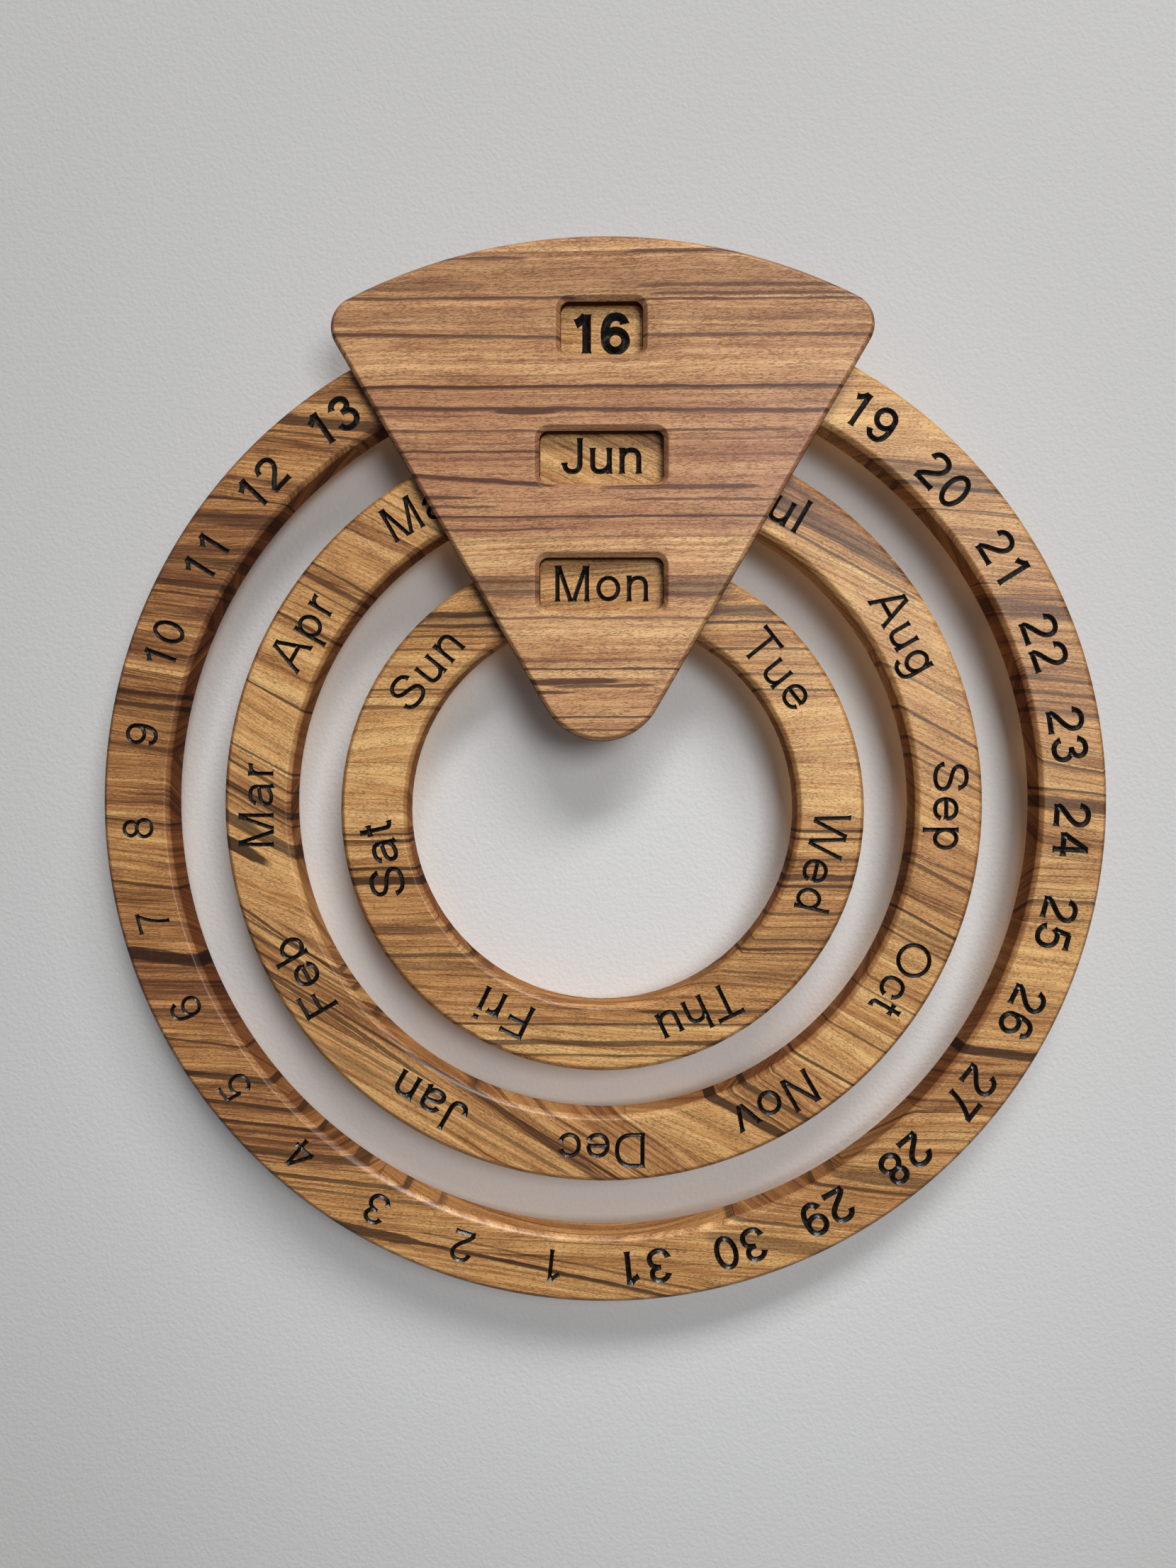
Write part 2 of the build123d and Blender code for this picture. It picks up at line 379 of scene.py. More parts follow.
@dataclass(frozen=True)
class Label:
    """A number or a word.

    half_stroke is half its strokes' width, as a share of a capital's height, and height is a
    capital's height in millimetres.
    """

    text: str
    half_stroke: float
    height: float = 16.0


@dataclass(frozen=True)
class Lettering:
    """How letters are cut."""

    capital_height: float = 16.0
    tracking: float = 0.035  # extra space after each letter, as a share of a capital's height
    spacing: float = 0.42  # between points along a letter's edge
    flare: float = 0.48  # how much wider a stroke gets towards its ends
    flare_length: float = 0.11
    bold_power: float = 1.6  # how quickly the flare gets less as strokes get bolder
    fit: float = 0.85  # share of its circle's radius that a point of the floor keeps from the rim
    shallowest: float = 0.105  # nearer to the rim than this, the floor has no points
    floor_steps: int = 3  # a step along the edge has about this many of them along the floor

    def outlines(self, glyph: Glyph, half_stroke: float) -> list[Array]:
        """The closed outlines of a letter's strokes.

        A stroke's sides stand half its width to the left and right of its middle line. The half
        width grows by flare (1 - s / flare_length)^2 towards an end that no other stroke covers.

        Args:
            glyph: The letter.
            half_stroke: Half of a stroke's width, as a share of a capital's height.

        Returns:
            Closed outlines, whose first point isn't repeated, as shares of a capital's height.
        """
        flare = self.flare * min(1.0, NOMINAL_HALF_STROKE / half_stroke) ** self.bold_power
        shapes = []
        for path in glyph.strokes:
            ends = self._middle(path)[[0, -1]]
            covered = np.zeros(2, dtype=bool)
            for other in glyph.strokes:
                for shape in self._sides(other, half_stroke, (0.0, 0.0)) if other != path else ():
                    covered |= within(ends, shape, closed_edges(len(shape)))
            shapes += self._sides(path, half_stroke, tuple(np.where(covered, 0.0, flare)))
        return shapes

    def _middle(self, path: str) -> Array:
        """Points along the middle of a stroke, whether it is a path or a slanting bar."""
        if path.startswith("D"):
            path = "M {} {} L {} {}".format(*path.split()[1:])
        return trace(path, self.spacing / self.capital_height)

    def _sides(self, path: str, half_stroke: float, flares: tuple[float, float]) -> list[Array]:
        """A stroke's outline, or both halves' outlines where a stroke closes on itself."""
        middle = self._middle(path)
        closed = np.linalg.norm(middle[0] - middle[-1]) < WELD
        if closed:
            ring = middle[:-1]
            tangent = np.roll(ring, -1, axis=0) - np.roll(ring, 1, axis=0)
            tangent = np.concatenate([tangent, tangent[:1]])
        else:
            tangent = np.gradient(middle, axis=0)
        tangent /= np.linalg.norm(tangent, axis=1)[:, None]
        normal = np.stack([-tangent[:, 1], tangent[:, 0]], axis=1)
        if path.startswith("D"):
            normal = np.array([[1.0, 0.0]]) / normal[:, :1]
        steps = np.linalg.norm(np.diff(middle, axis=0), axis=1)
        travelled = np.concatenate([[0.0], np.cumsum(steps)])
        growth = [
            flare * np.clip(1 - reach / self.flare_length, 0, 1) ** 2
            for flare, reach in zip(flares, (travelled, travelled[-1] - travelled))
        ]
        width = half_stroke * (1 + (0 if closed else growth[0] + growth[1]))
        side = normal * np.broadcast_to(width, len(middle))[:, None]
        spans = [slice(None)]
        if closed:
            half = len(middle) // 2
            spans = [slice(0, half + 1), slice(half, None)]
        return [
            np.concatenate([(middle + side)[span], (middle - side)[span][::-1]]) for span in spans
        ]

    @lru_cache(maxsize=None)
    def groove(self, letter: str, half_stroke: float) -> Groove:
        """Cut one letter.

        The bottom of the groove is the set of points with two nearest places on the rim. They are
        the centres of the circles through the corners of the triangles that fill the letter.

        Args:
            letter: A key of GLYPHS.
            half_stroke: Half of a stroke's width, as a share of a capital's height.

        Returns:
            The letter's groove, with its left foot at the origin.
        """
        shapes = self.outlines(GLYPHS[letter], half_stroke)
        shapes = [shape * self.capital_height for shape in shapes]
        starts = np.cumsum([0] + [len(shape) for shape in shapes])
        edges = [closed_edges(len(shape), start) for shape, start in zip(shapes, starts)]
        points, triangles = triangulate(np.concatenate(shapes), np.concatenate(edges))
        centres = points[triangles].mean(axis=1)
        inside = np.zeros(len(triangles), dtype=bool)
        for shape in shapes:
            inside |= within(centres, shape, closed_edges(len(shape)))
        rim, edges = subdivide(points, rim_of(triangles[inside]), self.spacing)
        return Groove(rim, edges, self._floor(rim, edges))

    def _floor(self, rim: Array, edges: Array) -> Array:
        """Points along the bottom of a groove, by the rule that groove() gives.

        The circle through a, b and c has its centre at a + (|c-a|^2 u - |b-a|^2 v) / (2 w), where u
        and v are b-a and c-a turned by a right angle, and w is their cross product.
        """
        points, triangles = triangulate(rim, edges)
        inside = within(points[triangles].mean(axis=1), rim, edges)
        first, second, third = (points[triangles[inside][:, i]] for i in range(3))
        to_second, to_third = second - first, third - first
        cross = to_second[:, 0] * to_third[:, 1] - to_second[:, 1] * to_third[:, 0]
        turned_second = np.stack([-to_second[:, 1], to_second[:, 0]], axis=1)
        turned_third = np.stack([-to_third[:, 1], to_third[:, 0]], axis=1)
        square_second, square_third = (to_second**2).sum(axis=1), (to_third**2).sum(axis=1)
        centre = first + (
            square_third[:, None] * turned_second - square_second[:, None] * turned_third
        ) / (2 * cross[:, None])
        radius = np.linalg.norm(centre - first, axis=1)
        reach = distance_to_edges(centre, rim, edges)
        true = within(centre, rim, edges) & (reach > self.fit * radius) & (reach > self.shallowest)
        centre = centre[true]
        cells = np.round(centre / (self.spacing / self.floor_steps)).astype(np.int64)
        _, kept = np.unique(cells, axis=0, return_index=True)
        return centre[kept]

    def word(self, label: Label) -> Groove:
        """Cut a number or a word, centred on the origin in its height and its width."""
        rims, edges, floors, pen, count = [], [], [], 0.0, 0
        for letter in label.text:
            cut = self.groove(letter, label.half_stroke)
            shift = np.array([pen * self.capital_height, 0.0])
            rims.append(cut.rim + shift)
            floors.append(cut.floor + shift)
            edges.append(cut.edges + count)
            count += len(cut.rim)
            pen += GLYPHS[letter].advance + self.tracking
        rim = np.concatenate(rims)
        middle = np.array([(rim[:, 0].min() + rim[:, 0].max()) / 2, self.capital_height / 2])
        size = label.height / self.capital_height
        floor = np.concatenate(floors)
        return Groove((rim - middle) * size, np.concatenate(edges), (floor - middle) * size)


# ---------------------------------------------------------------- meshes


def add_object(name: str, data: bpy.types.ID) -> bpy.types.Object:
    """A new object in the scene, at the origin."""
    item = bpy.data.objects.new(name, data)
    bpy.context.scene.collection.objects.link(item)
    return item


class Surface:
    """A closed surface, gathered part by part."""

    def __init__(self) -> None:
        """Start with no parts."""
        self.points: list[Array] = []
        self.triangles: list[Array] = []
        self.slots: list[Array] = []
        self.count = 0

    def add(self, points: Array, triangles: Array, slots: Array | int = 0) -> None:
        """Add a part. slots is the material slot of all its triangles, or of each one."""
        self.points.append(points)
        self.triangles.append(triangles + self.count)
        self.slots.append(np.broadcast_to(slots, len(triangles)))
        self.count += len(points)

    def piece(
        self, name: str, x: float, z: float, *materials: bpy.types.Material
    ) -> bpy.types.Object:
        """Make an object at the origin from the parts, joined where they meet, faces outwards.

        Args:
            name: The object's name.
            x: How far to move the surface to the right.
            z: How far to move it up.
            materials: What its slots hold.

        Returns:
            The object.
        """
        points, index = weld(np.concatenate(self.points))
        triangles = index[np.concatenate(self.triangles)]
        whole = (np.diff(np.sort(triangles, axis=1), axis=1) > 0).all(axis=1)
        mesh = bpy.data.meshes.new(name)
        mesh.from_pydata((points + np.array([x, 0.0, z])) / METRE, [], triangles[whole])
        slots = np.concatenate(self.slots)[whole]
        mesh.polygons.foreach_set("material_index", slots.astype(np.int32))
        work = bmesh.new()
        work.from_mesh(mesh)
        bmesh.ops.remove_doubles(work, verts=work.verts, dist=SEAM / METRE)
        bmesh.ops.dissolve_degenerate(work, edges=work.edges, dist=SEAM / METRE)
        bmesh.ops.recalc_face_normals(work, faces=work.faces)
        work.to_mesh(mesh)
        work.free()
        mesh.polygons.foreach_set("use_smooth", np.ones(len(mesh.polygons), dtype=bool))
        mesh.update()
        mesh.set_sharp_from_angle(angle=SMOOTH)
        for material in materials:
            mesh.materials.append(material)
        log.info("%s: %d triangles", name, len(mesh.polygons))
        return add_object(name, mesh)


def boards_of(panel: str) -> list[str]:
    """The names of a panel's boards."""
    return sorted(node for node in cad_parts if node.startswith(f"{panel}_board"))


def box_of(nodes: list[str]) -> tuple[Array, Array]:
    """The lowest and highest corner of some nodes, in millimetres."""
    boxes = np.array([[tuple(corner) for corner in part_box(node)] for node in nodes]) * METRE
    return boxes[:, 0].min(axis=0), boxes[:, 1].max(axis=0)


def grid_triangles(rows: int, columns: int) -> Array:
    """The triangles of a grid of points that closes on itself along its rows."""
    row, column = np.meshgrid(np.arange(rows - 1), np.arange(columns), indexing="ij")
    a, b = row * columns + column, row * columns + (column + 1) % columns
    quads = np.stack([a, b, b + columns, a + columns], axis=2).reshape(-1, 4)
    return np.concatenate([quads[:, [0, 1, 2]], quads[:, [0, 2, 3]]])


def at_depth(flat: Array, depth: Array | float) -> Array:
    """Points (x, z) of the front view as (x, y, z), at one depth or each at its own."""
    depth = np.broadcast_to(depth, flat.shape[:-1])
    return np.stack([flat[..., 0], depth, flat[..., 1]], axis=-1).reshape(-1, 3)


def swept(loop: Array, normals: Array, profile: Array) -> tuple[Array, Array]:
    """Carry a profile along a closed line in the front view.

    The point for a profile point (d, y) is the line's point moved d against its direction, at depth
    y.

    Args:
        loop: The line's points (x, z).
        normals: The way out of the wood at each.
        profile: Distances into the wood and depths.

    Returns:
        The points (x, y, z), and the triangles between neighbouring profile points.
    """
    flat = loop[:, None, :] - profile[None, :, :1] * normals[:, None, :]
    turn, step = np.meshgrid(np.arange(len(loop)), np.arange(len(profile) - 1), indexing="ij")
    a, b = turn * len(profile) + step, (turn + 1) % len(loop) * len(profile) + step
    quads = np.stack([a, b, b + 1, a + 1], axis=2).reshape(-1, 4)
    triangles = np.concatenate([quads[:, [0, 1, 2]], quads[:, [0, 2, 3]]])
    return at_depth(flat, profile[:, 1]), triangles


def eased(corner: Array, before: Array, after: Array, radius: float, steps: int = 3) -> Array:
    """Points of a curve that rounds a corner.

    The curve is quadratic, (1-t)^2 p + 2t(1-t) corner + t^2 q, where p and q stand the given
    radius back from the corner towards its neighbours.
    """
    towards = [point - corner for point in (before, after)]
    p, q = (corner + radius * way / np.linalg.norm(way) for way in towards)
    t = np.linspace(0.0, 1.0, steps)[:, None]
    return (1 - t) ** 2 * p + 2 * t * (1 - t) * corner + t**2 * q


# ---------------------------------------------------------------- shader tools


def linear(part: float) -> float:
    """A part of a display colour from 0 to 1 as light, by the sRGB curve."""
    return part / 12.92 if part <= 0.04045 else ((part + 0.055) / 1.055) ** 2.4


def rgb(red: int, green: int, blue: int) -> tuple[float, float, float, float]:
    """A display colour from 0 to 255 as Blender's linear colour."""
    return linear(red / 255), linear(green / 255), linear(blue / 255), 1.0


def new_material(name: str) -> tuple[bpy.types.Material, "Graph", bpy.types.Node]:
    """A new material, its graph and its Principled BSDF."""
    material = bpy.data.materials.new(name)
    material.use_nodes = True
    tree = material.node_tree
    return material, Graph(tree), tree.nodes["Principled BSDF"]


class Graph:
    """Adds nodes to one shader tree and joins them."""

    def __init__(self, tree: bpy.types.NodeTree) -> None:
        """Start on a tree. Only a group has an inside and an outside, its input and output node."""
        self.tree = tree
        self.inside: bpy.types.Node | None = None
        self.outside: bpy.types.Node | None = None

    @classmethod
    def group(cls, name: str, inputs: dict[str, Any], outputs: dict[str, str]) -> "Graph":
        """Start a node group.

        Args:
            name: The group's name.
            inputs: Each input's name and default: a number, or three or four of them.
            outputs: Each output's name and kind: Float, Color or Vector.

        Returns:
            The graph, whose input(name) gives the group's inputs.
        """
        tree = bpy.data.node_groups.new(name, "ShaderNodeTree")
        kinds = {3: "NodeSocketVector", 4: "NodeSocketColor"}
        for label, default in inputs.items():
            size = len(default) if isinstance(default, tuple) else 1
            socket = tree.interface.new_socket(
                name=label, in_out="INPUT", socket_type=kinds.get(size, "NodeSocketFloat")
            )
            socket.default_value = default
        for label, kind in outputs.items():
            tree.interface.new_socket(name=label, in_out="OUTPUT", socket_type=f"NodeSocket{kind}")
        graph = cls(tree)
        graph.inside = tree.nodes.new("NodeGroupInput")
        graph.outside = tree.nodes.new("NodeGroupOutput")
        return graph

    def input(self, name: str) -> Socket:
        """One of the group's inputs."""
        return self.inside.outputs[name]

    def finish(self, **outputs: Socket) -> bpy.types.NodeTree:
        """Join the group's outputs and give its tree. An underscore in a name is a space."""
        for name, socket in outputs.items():
            self.tree.links.new(socket, self.outside.inputs[name.replace("_", " ")])
        return self.tree

    def feed(self, socket: Socket, value: Any) -> None:
        """Join a socket to another, or set its value."""
        if isinstance(value, Socket):
            self.tree.links.new(value, socket)
        elif value is not None:
            socket.default_value = value

    def node(
        self, kind: str, inputs: dict[Any, Any] | None = None, **settings: Any
    ) -> bpy.types.Node:
        """Add a node, with its settings and what its inputs get."""
        node = self.tree.nodes.new(f"ShaderNode{kind}")
        for name, value in settings.items():
            setattr(node, name, value)
        for name, value in (inputs or {}).items():
            self.feed(node.inputs[name], value)
        return node

    def use(self, tree: bpy.types.NodeTree, **inputs: Any) -> bpy.types.Node:
        """Place a node group. An underscore in an input's name is a space."""
        node = self.node("Group", node_tree=tree)
        for name, value in inputs.items():
            self.feed(node.inputs[name.replace("_", " ")], value)
        return node

    def math(self, operation: str, *values: Any) -> Socket:
        """The result of a Math node."""
        return self.node("Math", dict(enumerate(values)), operation=operation).outputs[0]

    def add(self, *values: Any) -> Socket:
        """The sum of two or more numbers."""
        total = values[0]
        for value in values[1:]:
            total = self.math("ADD", total, value)
        return total

    def times(self, *values: Any) -> Socket:
        """The product of two or more numbers."""
        total = values[0]
        for value in values[1:]:
            total = self.math("MULTIPLY", total, value)
        return total

    def minus(self, first: Any, second: Any) -> Socket:
        """The first number less the second."""
        return self.math("SUBTRACT", first, second)

    def over(self, first: Any, second: Any) -> Socket:
        """The first number divided by the second."""
        return self.math("DIVIDE", first, second)

    def swing(self, value: Any, *sizes: Any) -> Socket:
        """A number from 0 to 1 less a half, times each of the sizes."""
        return self.times(self.minus(value, 0.5), *sizes)

    def ramp(
        self, value: Any, low: Any, high: Any, to_low: Any = 0.0, to_high: Any = 1.0
    ) -> Socket:
        """A smooth step from to_low at low to to_high at high."""
        ends = {"From Min": low, "From Max": high, "To Min": to_low, "To Max": to_high}
        return self.node(
            "MapRange", {"Value": value, **ends}, interpolation_type="SMOOTHSTEP"
        ).outputs["Result"]

    def mix(self, factor: Any, first: Any, second: Any, blend: str = "MIX") -> Socket:
        """A colour between two, or one blended over the other."""
        inputs = {0: factor, 6: first, 7: second}
        return self.node("Mix", inputs, data_type="RGBA", blend_type=blend).outputs[2]

    def vector(self, x: Any, y: Any, z: Any) -> Socket:
        """A vector of three numbers."""
        return self.node("CombineXYZ", {0: x, 1: y, 2: z}).outputs[0]

    def noise(
        self, vector: Any, scale: float = 1.0, detail: float = 2.0, roughness: float = 0.5
    ) -> Socket:
        """Smooth noise from 0 to 1 at a place."""
        inputs = {"Vector": vector, "Scale": scale, "Detail": detail, "Roughness": roughness}
        return self.node("TexNoise", inputs).outputs[0]

    def grain(
        self, along: Any, length: float, across: Any, width: float, third: Any, detail: float = 1.0
    ) -> Socket:
        """Smooth noise from 0 to 1 whose waves are about so long along the grain and so wide."""
        place = self.vector(self.over(along, length), self.over(across, width), third)
        return self.noise(place, 1.0, detail)

    def layers(self, value: Any, width: float, detail: float, roughness: float = 0.5) -> Socket:
        """Smooth noise from 0 to 1 along a line, whose waves are about so wide."""
        inputs = {
            "W": self.over(value, width), "Scale": 1.0, "Detail": detail, "Roughness": roughness,
        }
        return self.node("TexNoise", inputs, noise_dimensions="1D").outputs[0]

    def random(self, value: Any) -> Socket:
        """A number from 0 to 1 that is another for each value."""
        return self.node("TexWhiteNoise", {"W": value}, noise_dimensions="1D").outputs["Value"]

    def bump(self, strength: float, distance: float, height: Socket) -> Socket:
        """A normal that follows a height, up to a distance in metres."""
        return self.node(
            "Bump", {"Strength": strength, "Distance": distance, "Height": height}
        ).outputs[0]


# ---------------------------------------------------------------- finishes


@lru_cache(maxsize=None)
def board_group() -> bpy.types.NodeTree:
    """Tells a panel's boards apart: which one a place is on, and how near it is to a joint."""
    g = Graph.group(
        "glued_boards",
        {"Across": 0.0, "Joint": 0.0, "Width": 30.0, "Below": 8.0, "Count": 16.0, "Seed": 0.0},
        {"Place": "Float", "Pick": "Float", "Second Pick": "Float", "Joint Line": "Float"},
    )
    place = g.over(g.minus(g.input("Across"), g.input("Joint")), g.input("Width"))
    number = g.add(g.math("FLOOR", place), g.input("Below"))
    share = g.math("FRACT", place)
    edge = g.times(g.math("MINIMUM", share, g.minus(1.0, share)), g.input("Width"))
    board = g.add(number, g.input("Seed"))
    pick, second_pick = g.random(board), g.random(g.add(board, 57.3))
    return g.finish(
        Place=g.over(g.add(number, 0.5), g.input("Count")), Pick=pick, Second_Pick=second_pick,
        Joint_Line=g.ramp(edge, 0.06, 0.26, 1.0, 0.0),
    )


@lru_cache(maxsize=None)
def figure_group() -> bpy.types.NodeTree:
    """The figure of a sawn board: its layers, dark lines, their haze, its pores and its fibres."""
    g = Graph.group(
        "wood_figure",
        {"Along": 0.0, "Across": 0.0, "Depth": 0.0, "Pick": 0.5, "Second Pick": 0.5, "Wander": 4.0,
         "Slant": 0.1},
        {"Level": "Float", "Tone": "Float", "Line": "Float", "Haze": "Float", "Pores": "Float",
         "Fibres": "Float"},
    )
    along, across, depth = g.input("Along"), g.input("Across"), g.input("Depth")
    shift = g.times(g.input("Pick"), 911.0)
    drift = g.swing(g.grain(along, 130.0, across, 80.0, shift), g.input("Wander"), 2.0)
    ripple = g.swing(g.grain(along, 26.0, across, 16.0, shift, 2.0), 2.2)
    slant = g.swing(g.input("Second Pick"), g.input("Slant"), 2.0)
    lean = g.swing(g.input("Pick"), 2.4)
    layer = g.add(across, drift, ripple, g.times(depth, lean), g.times(along, slant))
    grown = g.add(layer, shift)
    level = g.add(across, g.times(drift, 0.15), g.times(ripple, 0.6))

    broad = g.layers(grown, 11.0, 1.0)
    bands = g.layers(grown, 2.6, 3.0, 0.65)
    cloud = g.grain(along, 40.0, grown, 9.0, shift, 2.0)
    strands = g.grain(along, 34.0, grown, 1.1, shift, 2.0)
    tone = g.add(
        g.times(broad, 0.22), g.times(bands, 0.30), g.times(cloud, 0.20), g.times(strands, 0.28)
    )

    ring = g.minus(g.layers(g.add(grown, 311.0), 6.0, 2.0), 0.5)
    patchy = g.ramp(g.grain(along, 70.0, grown, 6.0, shift), 0.30, 0.60)
    rough = g.add(ring, g.swing(g.grain(along, 7.0, grown, 0.5, shift, 2.0), 0.024))
    line = g.times(g.ramp(rough, -0.008, 0.0), g.ramp(rough, 0.010, 0.030, 1.0, 0.0), patchy)
    haze = g.times(g.ramp(rough, -0.006, 0.002), g.ramp(rough, 0.0, 0.15, 1.0, 0.0), patchy)

    rise = g.add(grown, g.times(along, g.swing(g.input("Second Pick"), 0.24)))
    pores = g.noise(g.vector(
        g.add(g.over(along, 1.7), shift), g.over(rise, 0.27), g.over(depth, 0.27)
    ), 1.0, 1.0)
    density = g.grain(along, 16.0, grown, 4.0, shift)
    pores = g.ramp(g.add(pores, g.swing(density, 0.30)), 0.54, 0.63)

    fibre = g.noise(
        g.vector(g.over(along, 9.0), g.over(rise, 0.22), g.over(depth, 0.22)), 1.0, 3.0, 0.6
    )
    return g.finish(Level=level, Tone=tone, Line=line, Haze=haze, Pores=pores, Fibres=fibre)


@lru_cache(maxsize=None)
def streak_group() -> bpy.types.NodeTree:
    """One dark streak along the grain, with a fade above it, one below it and pointed ends."""
    g = Graph.group(
        "mineral_streak",
        {"Along": 0.0, "Level": 0.0, "Ragged": 0.5, "Height": 0.0, "Half": 1.0, "Slope": 0.0,
         "Start": -500.0, "End": 500.0, "Above": 0.3, "Below": 0.3, "Strength": 1.0},
        {"Mask": "Float"},
    )
    along, above, below = (g.input(name) for name in ("Along", "Above", "Below"))
    start, end = g.input("Start"), g.input("End")
    point = g.times(
        g.ramp(along, g.minus(start, 16.0), g.add(start, 3.0)),
        g.ramp(along, g.minus(end, 3.0), g.add(end, 16.0), 1.0, 0.0),
    )
    half = g.times(g.input("Half"), g.add(0.15, g.times(point, 0.85)))
    line = g.add(g.input("Height"), g.times(along, g.input("Slope")))
    uneven = g.swing(g.input("Ragged"), g.add(half, 0.6))
    rise = g.add(g.minus(g.input("Level"), line), uneven)
    mask = g.times(
        g.ramp(rise, g.minus(g.times(half, -1.0), below), g.times(half, -1.0)),
        g.ramp(rise, half, g.add(half, above), 1.0, 0.0),
        g.ramp(point, 0.0, 0.5),
        g.input("Strength"),
    )
    return g.finish(Mask=mask)


@lru_cache(maxsize=None)
def facing_group() -> bpy.types.NodeTree:
    """Whether a surface is a panel's side or a chamfered edge, and how much end grain it shows."""
    g = Graph.group(
        "cut_direction", {"Normal": (0.0, -1.0, 0.0), "Turn": 0.0},
        {"Side": "Float", "Edge": "Float", "End": "Float"},
    )
    turned = g.node(
        "VectorRotate", {"Vector": g.input("Normal"), "Angle": g.input("Turn"), "Axis": (0, 1, 0)}
    ).outputs[0]
    parts = g.node("SeparateXYZ", {0: turned}).outputs
    facing = g.math("ABSOLUTE", parts[1])
    return g.finish(
        Side=g.ramp(facing, 0.20, 0.80, 1.0, 0.0),
        Edge=g.times(g.ramp(facing, 0.45, 0.60), g.ramp(facing, 0.85, 0.98, 1.0, 0.0)),
        End=g.ramp(g.math("ABSOLUTE", parts[0]), 0.35, 0.95),
    )


class Board(Enum):
    """Kinds of board: how pale, how rosy and how strongly lined, each from 0 to 1."""

    PALE = (0.72, 0.00, 0.10)
    HONEY = (0.63, 0.00, 0.20)
    GOLDEN = (0.55, 0.05, 0.22)
    TAWNY = (0.45, 0.15, 0.28)
    BLUSH = (0.54, 0.62, 0.28)
    LINED = (0.53, 0.20, 0.70)
    SMOKY = (0.38, 0.30, 0.50)
    UMBER = (0.30, 0.40, 0.60)


@dataclass(frozen=True)
class Streak:
    """A dark streak.

    Its height above the panel's middle, its width, both ends along the grain, its strength, how far
    it fades above and below, and its rise over 100 mm.
    """

    height: float
    width: float
    start: float
    end: float
    strength: float
    above: float = 0.3
    below: float = 0.8
    slope: float = 0.0


